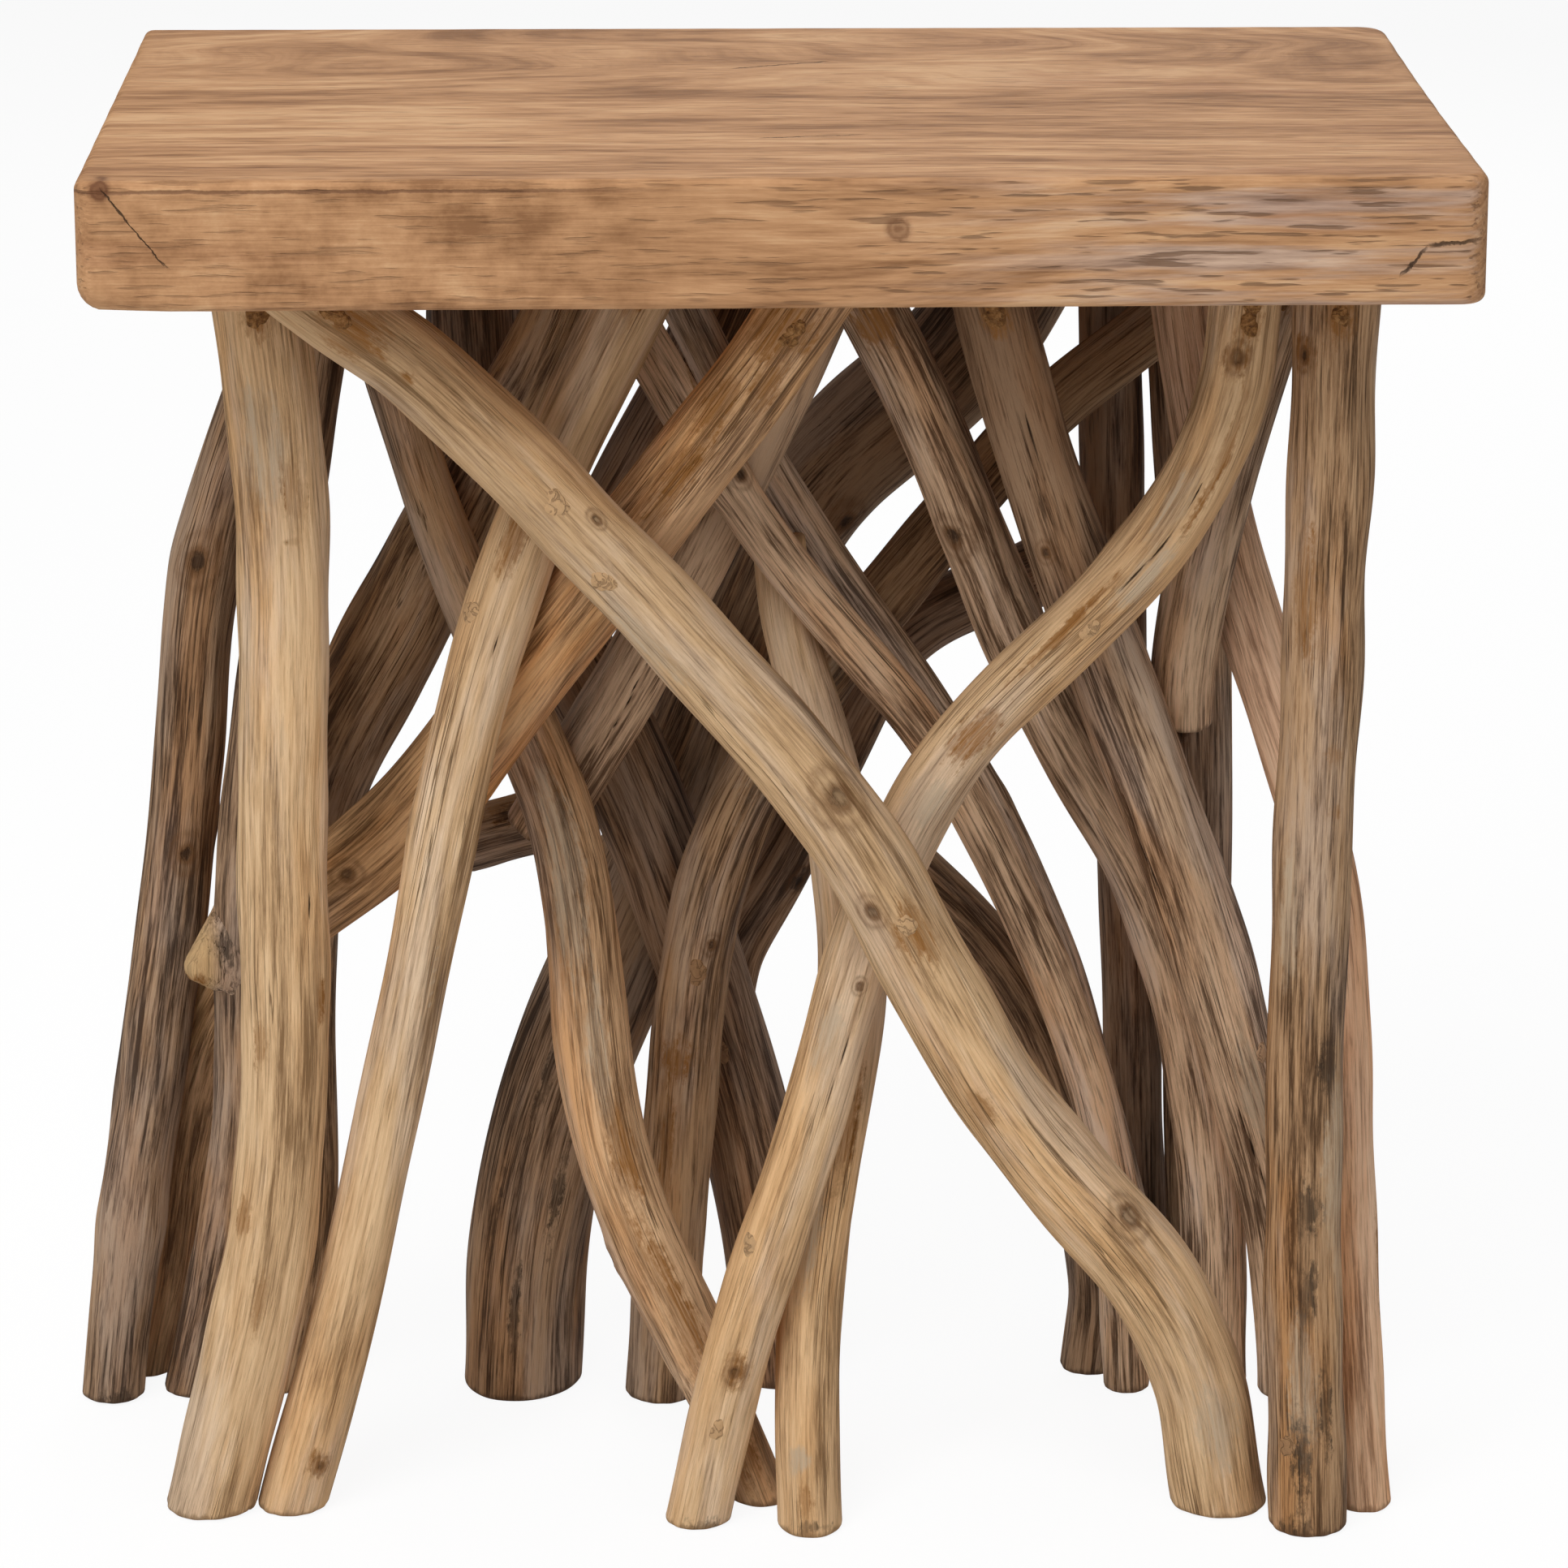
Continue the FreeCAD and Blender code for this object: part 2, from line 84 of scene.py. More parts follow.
class Wire:
    # one output of a shader: arithmetic on it adds Math nodes
    def __init__(self, tree, socket=None):
        self.tree = tree
        self.socket = socket

    def node(self, kind, settings=None, inputs=None, out=0):
        made = self.tree.nodes.new(kind)
        for key, value in (settings or {}).items():
            if key == "stops":
                while len(made.color_ramp.elements) < len(value):
                    made.color_ramp.elements.new(0.5)
                for element, (place, colour) in zip(made.color_ramp.elements, value):
                    element.position = place
                    element.color = (*colour, 1.0)
            else:
                setattr(made, key, value)
        for key, value in (inputs or {}).items():
            self.plug(made.inputs[key], value)
        return Wire(self.tree, made.outputs[out])

    def plug(self, socket, value):
        if isinstance(value, Wire):
            self.tree.links.new(value.socket, socket)
        else:
            socket.default_value = value

    def maths(self, operation, first, second=0.0):
        return self.node("ShaderNodeMath", {"operation": operation}, {0: first, 1: second})

    def __add__(self, other):
        return self.maths("ADD", self, other)

    def __sub__(self, other):
        return self.maths("SUBTRACT", self, other)

    def __rsub__(self, other):
        return self.maths("SUBTRACT", other, self)

    def __mul__(self, other):
        return self.maths("MULTIPLY", self, other)

    def __pow__(self, other):
        return self.maths("POWER", self, other)

    def __abs__(self):
        return self.maths("ABSOLUTE", self)

    __radd__ = __add__
    __rmul__ = __mul__

    def sine(self):
        return self.maths("SINE", self)

    def most(self, other):
        return self.maths("MAXIMUM", self, other)

    def rise(self, low, high):                # 0 below low, 1 above high, smooth between
        return self.node("ShaderNodeMapRange", {"interpolation_type": "SMOOTHSTEP"},
                         {0: self, 1: low, 2: high, 3: 0.0, 4: 1.0})

    def fall(self, low, high):                # 1 below low, 0 above high
        return self.node("ShaderNodeMapRange", {"interpolation_type": "SMOOTHSTEP"},
                         {0: self, 1: low, 2: high, 3: 1.0, 4: 0.0})

    def spread(self, scale):                  # a vector times a vector
        return self.node("ShaderNodeVectorMath", {"operation": "MULTIPLY"}, {0: self, 1: scale})

    def moved(self, offset):                  # a vector plus a vector
        return self.node("ShaderNodeVectorMath", {"operation": "ADD"}, {0: self, 1: offset})

    def parts(self):
        made = self.node("ShaderNodeSeparateXYZ", None, {0: self})
        return [Wire(self.tree, socket) for socket in made.socket.node.outputs]

    def noise(self, scale, detail=4.0, roughness=0.55, distortion=0.0):
        return self.node("ShaderNodeTexNoise", None, {
            "Vector": self, "Scale": scale, "Detail": detail,
            "Roughness": roughness, "Distortion": distortion})

    def over(self, base, colour, mode="MIX"):  # this mask lays a colour over another
        base = base if isinstance(base, Wire) else (*base, 1.0)
        colour = colour if isinstance(colour, Wire) else (*colour, 1.0)
        return self.node("ShaderNodeMix", {"data_type": "RGBA", "blend_type": mode, "clamp_factor": True},
                         {0: self, 6: base, 7: colour}, out=2)


def startMaterial(name, specular):
    # a new material, its tree to wire and its shader
    made = bpy.data.materials.new(name)
    made.use_nodes = True
    shader = made.node_tree.nodes["Principled BSDF"]
    shader.inputs["Specular IOR Level"].default_value = specular
    return made, Wire(made.node_tree), shader


def finishMaterial(start, shader, colour, roughness, height, depth):
    # colour and roughness into the shader, and the height as a bump
    start.plug(shader.inputs["Base Color"], colour)
    start.plug(shader.inputs["Roughness"], roughness)
    bump = start.node("ShaderNodeBump", None, {"Strength": 1.0, "Distance": depth, "Height": height})
    start.plug(shader.inputs["Normal"], bump)


def nodeMesh(name):
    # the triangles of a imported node, as their corners
    mesh = frame["nodes"][name].data
    spots = np.empty(len(mesh.vertices) * 3)
    mesh.vertices.foreach_get("co", spots)
    mesh.calc_loop_triangles()
    corners = np.empty(len(mesh.loop_triangles) * 3, dtype=np.int32)
    mesh.loop_triangles.foreach_get("vertices", corners)
    return spots.reshape(-1, 3)[corners.reshape(-1, 3)]


def unit(vectors):
    return vectors / np.linalg.norm(vectors, axis=-1, keepdims=True)


def gridMesh(name, tubes):
    # each tube: rows of points closed on themselves, end points that close it, values its points carry
    spots = []
    loops = []
    totals = []
    fields = {}
    count = 0
    for tube in tubes:
        rings = tube["rings"]
        rows, around = rings.shape[:2]
        here = np.arange(around)
        onward = (here + 1) % around
        first = np.arange(rows - 1)[:, None] * around
        quads = np.stack([first + here, first + onward, first + around + onward, first + around + here], -1)
        size = rows * around
        spots.append(rings.reshape(-1, 3))
        loops.append(quads.reshape(-1) + count)
        totals.append(np.full(quads.size // 4, 4))
        last = size - around
        for end, fan in (("foot", (onward, here)), ("head", (last + here, last + onward))):
            if end in tube:
                pole = np.full(around, size)
                spots.append(np.array(tube[end])[None])
                loops.append(np.stack([fan[0], fan[1], pole], -1).reshape(-1) + count)
                totals.append(np.full(around, 3))
                size += 1
        for key, values in tube.get("marks", {}).items():
            flat = values.reshape(rows * around, -1)
            ends = [flat[place][None] for end, place in (("foot", 0), ("head", -1)) if end in tube]
            fields.setdefault(key, []).append(np.concatenate([flat] + ends))
        count += size
    loops = np.concatenate(loops)
    totals = np.concatenate(totals)
    mesh = bpy.data.meshes.new(name)
    mesh.vertices.add(count)
    mesh.vertices.foreach_set("co", np.concatenate(spots).astype(np.float32).reshape(-1))
    mesh.loops.add(len(loops))
    mesh.loops.foreach_set("vertex_index", loops.astype(np.int32))
    mesh.polygons.add(len(totals))
    mesh.polygons.foreach_set("loop_start", (np.cumsum(totals) - totals).astype(np.int32))
    mesh.polygons.foreach_set("use_smooth", np.ones(len(totals), dtype=bool))
    mesh.update(calc_edges=True)
    mesh.validate()
    for key, parts in fields.items():
        flat = np.concatenate(parts).astype(np.float32)
        kind = "FLOAT_VECTOR" if flat.shape[1] == 3 else "FLOAT"
        field = "vector" if flat.shape[1] == 3 else "value"
        mesh.attributes.new(key, kind, "POINT").data.foreach_set(field, flat.reshape(-1))
    piece = bpy.data.objects.new(name, mesh)
    bpy.context.scene.collection.objects.link(piece)
    return piece


welding = {"together": 1e-6, "sliver": 1e-7}


def weld(piece):
    # joins the points that lie on one another
    shell = bmesh.new()
    shell.from_mesh(piece.data)
    bmesh.ops.remove_doubles(shell, verts=shell.verts, dist=welding["together"])
    bmesh.ops.dissolve_degenerate(shell, edges=shell.edges, dist=welding["sliver"])
    shell.to_mesh(piece.data)
    shell.free()


def stand(piece, node, material):
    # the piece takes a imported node's place
    piece.data.materials.append(material)
    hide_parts(node)
    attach(piece, "root")


def sections(triangles, middle, along):
    # where a plane cuts the skin: the middles and lengths of the cut segments
    height = (triangles - middle) @ along
    hit = triangles[(height.min(1) < 0) & (height.max(1) > 0)]
    height = (hit - middle) @ along
    following = np.roll(hit, -1, axis=1)
    beyond = np.roll(height, -1, axis=1)
    crossing = (height < 0) != (beyond < 0)
    share = np.where(crossing, height / np.where(crossing, height - beyond, 1.0), 0.0)
    points = hit + (following - hit) * share[..., None]
    total = (points * crossing[..., None]).sum(1)
    spread = np.where(crossing[..., None], points, total[:, None] / 2) - total[:, None] / 2
    length = np.sqrt((spread ** 2).sum((1, 2)) * 2)
    return total / 2, length


reading = {
    "cuts": 30, "from": 0.075, "to": 0.925,   # cuts across a branch, between these shares of its length
    "near": 0.07, "beside": 0.10,             # how far the skin lies from its cut, and cuts from a bridge
    "odd": 0.16, "trims": 3,                  # points this share off the usual reach are of drilled holes
    "calm": 7,                                # neighbouring cuts that give a girth
    "turns": 2,                               # rounds of cutting, each square to the last line
    "touch": 0.001, "level": 0.0004, "levelFacing": 0.99,  # ends on the floor or under the slab
    "endDepth": 0.02, "endFacing": 0.8, "speck": 1e-12,  # ends sawn square, and the least area
    "step": 0.001, "runOn": 0.06, "ease": 9, "easings": 2,  # the line: steps, run beyond the ends, window
}


def ringMiddle(points, length):
    # middle and reach of one cut, with drilled holes left out
    for trim in range(reading["trims"]):
        spot = (points * length[:, None]).sum(0) / length.sum()
        reach = np.linalg.norm(points - spot, axis=1)
        usual = np.median(reach)
        keep = np.abs(reach - usual) < reading["odd"] * usual
        points = points[keep]
        length = length[keep]
    return spot, usual


def facesOf(triangles):
    # middles, normals, and the normals' lengths, which go with the areas
    normals = np.cross(triangles[:, 1] - triangles[:, 0], triangles[:, 2] - triangles[:, 0])
    return triangles.mean(1), normals, np.linalg.norm(normals, axis=1)


def sawnEnd(triangles, level, axis, way):
    # middle and facing of a sawn end: level with the floor or slab, or square across the branch
    middles, normals, areas = facesOf(triangles)
    facing = normals / np.maximum(areas, reading["speck"])[:, None]
    if level is None:
        places = middles @ axis * way
        mask = (facing @ axis * way > reading["endFacing"]) & (places > places.max() - reading["endDepth"])
        square = unit(normals[mask].sum(0)) * way
    else:
        mask = np.abs(middles[:, 2] - level) < reading["level"]
        mask = mask & (facing[:, 2] * way > reading["levelFacing"])
        square = np.array([0.0, 0.0, 1.0])
    return (middles[mask] * areas[mask][:, None]).sum(0) / areas[mask].sum(), square


def readBranch(name, bridge=None):
    # line and girth of a packed branch: the middles of cuts square to its line, eased into a curve
    # a bridge spans the heights where a side limb grows out: there a cubic through the cuts beside it
    # takes the place of the middles
    triangles = nodeMesh(name)
    middles, normals, areas = facesOf(triangles)
    centre = (middles * areas[:, None]).sum(0) / areas.sum()
    spread = (middles - centre) * np.sqrt(areas)[:, None]
    axis = np.linalg.eigh(spread.T @ spread)[1][:, 2]
    axis = axis * np.sign(axis[2])
    onFloor = triangles[..., 2].min() < reading["touch"]
    onSlab = triangles[..., 2].max() > underside - reading["touch"]
    ends = [sawnEnd(triangles, 0.0 if onFloor else None, axis, -1),
            sawnEnd(triangles, underside if onSlab else None, axis, 1)]
    places = (middles - centre) @ axis
    start = (ends[0][0] - centre) @ axis
    stop = (ends[1][0] - centre) @ axis
    stations = start + (stop - start) * np.linspace(reading["from"], reading["to"], reading["cuts"])
    local = [triangles[np.abs(places - station) < reading["near"]] for station in stations]
    line = centre + axis * stations[:, None]
    tangents = np.tile(axis, (reading["cuts"], 1))
    for turn in range(reading["turns"]):
        rings = [ringMiddle(*sections(*one)) for one in zip(local, line, tangents)]
        line = np.array([ring[0] for ring in rings])
        whole = np.concatenate([ends[0][0][None], line, ends[1][0][None]])
        tangents = unit(np.gradient(whole, axis=0))[1:-1]
    calm = reading["calm"]
    girths = np.pad([ring[1] for ring in rings], calm // 2, mode="edge")
    girths = np.median(np.lib.stride_tricks.sliding_window_view(girths, calm), axis=1)  # side limbs left out
    if bridge:
        height = line[:, 2].copy()
        hidden = (height > bridge[0]) & (height < bridge[1])
        beside = ~hidden & (np.abs(height - np.mean(bridge)) < reading["beside"])
        curve = np.polyfit(height[beside], line[beside], 3)
        whole[1:-1][hidden] = sum(height[hidden, None] ** (3 - k) * curve[k] for k in range(4))
    steps = np.linalg.norm(np.diff(whole, axis=0), axis=1)
    run = np.concatenate([[0.0], np.cumsum(steps)])
    table = np.arange(-reading["runOn"], run[-1] + reading["runOn"], reading["step"])
    radius = np.interp(table, run[1:-1], girths)
    path = np.stack([np.interp(table, run, whole[:, k]) for k in range(3)], -1)
    path = path + np.minimum(table, 0)[:, None] * (whole[1] - whole[0]) / steps[0]
    path = path + np.maximum(table - run[-1], 0)[:, None] * (whole[-1] - whole[-2]) / steps[-1]
    ease = reading["ease"]
    window = np.hanning(2 * ease + 3)[1:-1]
    window = window / window.sum()
    for turn in range(reading["easings"]):
        longer = np.pad(path, ((ease, ease), (0, 0)), mode="reflect", reflect_type="odd")
        path = np.stack([np.convolve(longer[:, k], window, "valid") for k in range(3)], -1)
        radius = np.convolve(np.pad(radius, ease, mode="edge"), window, "valid")
    along = unit(np.gradient(path, axis=0))
    front = np.array([0.0, -1.0, 0.0])
    forward = unit(front - (along @ front)[:, None] * along)
    return {"table": table, "path": path, "radius": radius, "along": along, "forward": forward,
            "aside": np.cross(along, forward), "length": run[-1], "ends": ends}


def look(line, key, run):
    # a value of the branch's line, at runs along it
    values = line[key]
    if values.ndim == 1:
        return np.interp(run, line["table"], values)
    return np.stack([np.interp(run, line["table"], values[:, k]) for k in range(3)], -1)


def turned(angle):
    # the same angle within half a turn of the front
    return (angle + np.pi) % (2 * np.pi) - np.pi


branchShape = {
    "around": 88, "ringStep": 0.0022, "fewestRows": 12, "capRings": 6,
    "bevel": 0.0018, "bevelSteps": (0.0, 0.08, 0.25, 0.55, 1.0), "sawnFrom": 0.98,
    "searches": 8, "leastSlope": 0.2,         # the search for a sawn face, kept steady
    "lumpWaves": (1, 2, 2, 3, 3), "lumpLength": (0.05, 0.17),  # waves around, metres along
    "fluteWaves": (5, 7, 9, 13), "fluteLength": (0.10, 0.3), "fluteTwist": 6,
    "knotRatio": 1.3, "knotDip": 0.9, "knotEye": 0.42,
    "splitTaper": 0.03, "splitLeast": 0.02, "splitWaves": 43, "splitEnds": 400, "splitEdge": 1.5,
    "crack": 0.0014,                          # depth of a split
    "far": 9.0,                               # mark value where there is no mark
}


def markField(line, run, angle, spots):
    # distance to the nearest mark, in units of its size
    # each mark: share along, degrees from the front, size in mm, length ratio
    nearest = np.full(run.shape, branchShape["far"])
    girth = look(line, "radius", run)
    for share, degrees, size, ratio in spots:
        across = turned(angle - math.radians(degrees)) * girth / (size * mm)
        beside = (run - share * line["length"]) / (size * mm * ratio)
        nearest = np.minimum(nearest, np.sqrt(across ** 2 + beside ** 2))
    return nearest


def splitField(line, run, angle, splits):
    # distance to the nearest split in units of its width, which narrows to its ends
    nearest = np.full(run.shape, branchShape["far"])
    girth = look(line, "radius", run)
    share = run / line["length"]
    for low, high, degrees, width, wander in splits:
        taper = np.minimum(share - low, high - share) / branchShape["splitTaper"]
        taper = np.clip(taper, branchShape["splitLeast"], 1.0)
        path = math.radians(wander) * np.sin(share * branchShape["splitWaves"] + degrees)
        path = math.radians(degrees) + path
        across = np.abs(turned(angle - path)) * girth / (width * mm * taper)
        outside = np.maximum(np.maximum(low - share, share - high), 0) * branchShape["splitEnds"]
        nearest = np.minimum(nearest, np.sqrt(across ** 2 + outside ** 2))
    return nearest


def branchRelief(line, run, angle, values):
    # outward offset: slow waves along and around, long ridges, swellings,
    # knots that rise and dip, split grooves
    shape = branchShape
    draws = np.random.default_rng(values["seed"])
    girth = look(line, "radius", run)
    offset = np.zeros(run.shape)
    for waves in shape["lumpWaves"]:
        length = draws.uniform(*shape["lumpLength"])
        ring = np.cos(waves * angle + draws.uniform(0, fullTurn))
        offset = offset + values["lump"] * ring * np.cos(run * fullTurn / length + draws.uniform(0, fullTurn))
    for waves in shape["fluteWaves"]:
        twist = draws.uniform(-shape["fluteTwist"], shape["fluteTwist"])
        length = draws.uniform(*shape["fluteLength"])
        fade = 0.5 + 0.5 * np.cos(run * fullTurn / length + draws.uniform(0, fullTurn))
        ridge = np.cos(waves * angle + twist * run + draws.uniform(0, fullTurn))
        offset = offset + values["flute"] * fade * ridge
    offset = offset * girth
    for share, amount, width in values["swells"]:
        offset = offset + girth * amount * np.exp(-((run - share * line["length"]) / (width * mm)) ** 2)
    for share, degrees, size, rise in values["knots"]:
        away = markField(line, run, angle, ((share, degrees, size, shape["knotRatio"]),))
        dip = shape["knotDip"] * np.exp(-(away / shape["knotEye"]) ** 2)
        offset = offset + rise * mm * (np.exp(-away ** 2) - dip)
    away = splitField(line, run, angle, values["splits"])
    return offset - shape["crack"] * np.exp(-(away / shape["splitEdge"]) ** 2)


def branchSkin(line, run, angle, values, lift=0.0):
    # a point of the skin: out from the line by girth, relief and lift, at an angle from the front
    out = look(line, "radius", run) + branchRelief(line, run, angle, values) + lift
    across = np.cos(angle)[..., None] * look(line, "forward", run)
    across = across + np.sin(angle)[..., None] * look(line, "aside", run)
    return look(line, "path", run) + out[..., None] * across


def branchRings(line, values):
    # lines along the branch, each from where it meets one sawn face to where it meets the other
    around = branchShape["around"]
    angle = np.arange(around) * 2 * np.pi / around
    limits = []
    for (middle, square), guess in zip(line["ends"], (0.0, line["length"])):
        run = np.full(around, guess)
        for turn in range(branchShape["searches"]):
            miss = (branchSkin(line, run, angle, values) - middle) @ square
            slope = look(line, "along", run) @ square
            run = run - miss / np.maximum(slope, branchShape["leastSlope"])
        limits.append(run)
    bevel = branchShape["bevel"]
    rows = max(int(line["length"] / branchShape["ringStep"]), branchShape["fewestRows"])
    edge = np.array(branchShape["bevelSteps"]) * bevel / line["length"]
    between = np.linspace(edge[-1], 1 - edge[-1], rows)[1:-1]
    share = np.concatenate([edge, between, 1 - edge[::-1]])[:, None]
    run = limits[0] + (limits[1] - limits[0]) * share
    inward = np.clip(1 - np.minimum(run - limits[0], limits[1] - run) / bevel, 0, 1)
    drop = bevel * (1 - np.sqrt(1 - inward ** 2))
    grid = np.broadcast_to(angle, run.shape)
    skin = branchSkin(line, run, grid, values, -drop)
    inner = np.linspace(1, 0, branchShape["capRings"] + 1)[1:-1, None]
    middles = skin[0].mean(0), skin[-1].mean(0)
    foot = (middles[0] + (skin[0] - middles[0]) * inner[..., None])[::-1]
    head = middles[1] + (skin[-1] - middles[1]) * inner[..., None]
    capRun = np.ones(inner.shape)
    runs = np.concatenate([capRun * run[:1], run, capRun * run[-1:]])
    reach = np.concatenate([inner[::-1] * np.ones(around), np.ones(run.shape), inner * np.ones(around)])
    face = np.ones(foot.shape[:2])
    sawn = np.concatenate([face, (inward > branchShape["sawnFrom"]) * 1.0, face])
    tip = np.minimum(runs - limits[0], limits[1] - runs)
    tube = {"rings": np.concatenate([foot, skin, head]), "foot": middles[0], "head": middles[1]}
    return tube, runs, np.broadcast_to(angle, runs.shape), reach, sawn, tip


def branchTube(line, values):
    # the rings of a branch with the values that its finish reads
    tube, run, angle, reach, sawn, tip = branchRings(line, values)
    out = look(line, "radius", run) * reach
    knots = [(*knot[:3], branchShape["knotRatio"]) for knot in values["knots"]]
    tube["rings"] = np.clip(tube["rings"], boxLow, boxHigh)
    tube["marks"] = {
        "trunk": np.stack([out * np.cos(angle), out * np.sin(angle), run], -1),
        "knot": markField(line, run, angle, knots),
        "split": splitField(line, run, angle, values["splits"]),
        "stain": markField(line, run, angle, values["stains"]),
        "soot": markField(line, run, angle, values["darkSpots"]),
        "bleach": markField(line, run, angle, values["bleaches"]),
        "sawn": sawn,
        "torn": sawn * 0,
        "tip": tip,
    }
    return tube


stubShape = {
    "height": 0.425, "bridge": (0.375, 0.475),  # shares of the leg's height
    "lean": (-0.88, -0.47, 0.0),              # the way it grows
    "inside": 0.006, "skin": 0.0105, "tip": 0.0225,  # places out from the leg's line
    "upper": (0.018, -0.001), "lower": (-0.017, -0.010),  # heights of its edges at the skin and the tip
    "thick": (0.009, 0.005),                  # half thickness at the skin and the tip
    "around": 52, "rows": 30, "capRings": 8, "pole": 0.08, "bulge": 0.0016,
    "lobes": (3, 0.05, 1.0), "ridges": (8, 0.035, 500),  # how many around, how strong, how turned
    "golden": ((-0.011, 0.005), (0.9, 0.35)),  # stain: middle and size, in height and in share along
    # a dark patch round the join, on one side only: middle and size, in height and in share along
    "joinDark": ((0.003, 0.009), (0.05, 0.42)), "joinDarkSide": 0.2,
    "torn": (2.5, 0.5),                       # how fast and how late the torn wood starts along it
    "grainStart": 2.0,                        # sets its grain apart from the leg's
}


def stubTube(line):
    # sawn-off side limb: upright ovals carried out of the leg, with a top edge that slopes to a blunt tip
    shape = stubShape
    base = line["path"][np.abs(line["path"][:, 2] - shape["height"] * underside).argmin()]
    up = np.array([0.0, 0.0, 1.0])
    lean = unit(np.array(shape["lean"]))
    side = unit(np.cross(lean, up))
    angle = -np.arange(shape["around"]) * 2 * np.pi / shape["around"]
    inner = np.linspace(1.0, shape["pole"], shape["capRings"] + 1)[1:]
    reach = np.concatenate([np.ones(shape["rows"]), inner])[:, None]
    out = np.linspace(shape["inside"], shape["tip"], shape["rows"])
    out = np.concatenate([out, np.full(len(inner), shape["tip"])])
    out = out[:, None] + shape["bulge"] * (1 - reach ** 2)
    share = (out - shape["skin"]) / (shape["tip"] - shape["skin"])
    upper, lower, thick = (shape[key][0] + (shape[key][1] - shape[key][0]) * np.minimum(share, 1)
                           for key in ("upper", "lower", "thick"))
    lobes, lobeSize, lobeTurn = shape["lobes"]
    ridges, ridgeSize, ridgeTurn = shape["ridges"]
    ripple = 1 + lobeSize * np.cos(lobes * angle + lobeTurn)
    ripple = ripple + ridgeSize * np.cos(ridges * angle + out * ridgeTurn)
    beside = thick * reach * ripple * np.cos(angle)
    height = (upper + lower) / 2 + (upper - lower) / 2 * reach * ripple * np.sin(angle)
    out = out * np.ones(angle.shape)
    rings = base + out[..., None] * lean + beside[..., None] * side
    rings = rings + height[..., None] * up
    far = np.full(height.shape, branchShape["far"])
    distance = {}
    for key in ("golden", "joinDark"):
        (level, tall), (place, long) = shape[key]
        distance[key] = np.hypot((height - level) / tall, (share - place) / long)
    joinDark = distance["joinDark"] + (np.cos(angle) > shape["joinDarkSide"]) * branchShape["far"]
    quick, late = shape["torn"]
    marks = {key: far for key in ("knot", "split", "bleach", "tip")}
    marks["trunk"] = np.stack([beside, out, height + shape["grainStart"]], -1)
    marks["torn"] = np.clip(share * quick - late, 0, 1) * np.ones(angle.shape)
    marks["soot"] = joinDark
    marks["stain"] = distance["golden"]
    marks["sawn"] = far * 0
    return {"rings": rings, "foot": rings[0].mean(0), "head": rings[-1].mean(0), "marks": marks}


plainBranch = {
    "tone": "tan", "seed": 0, "lump": 0.020, "flute": 0.010,
    "paintedShade": 0.25,                            # how much painted shade darkens it towards the slab
    "knots": (),                              # share along, degrees from the front, size and rise in mm
    "splits": (),                             # from and to share, degrees, width in mm, wander in degrees
    # dark spots: some at knots and round the stub's join, some making feet and lower parts darker
    "stains": (), "darkSpots": (), "bleaches": (),  # share, degrees, size in mm, length ratio
    "swells": (),                             # share, amount, width in mm
}

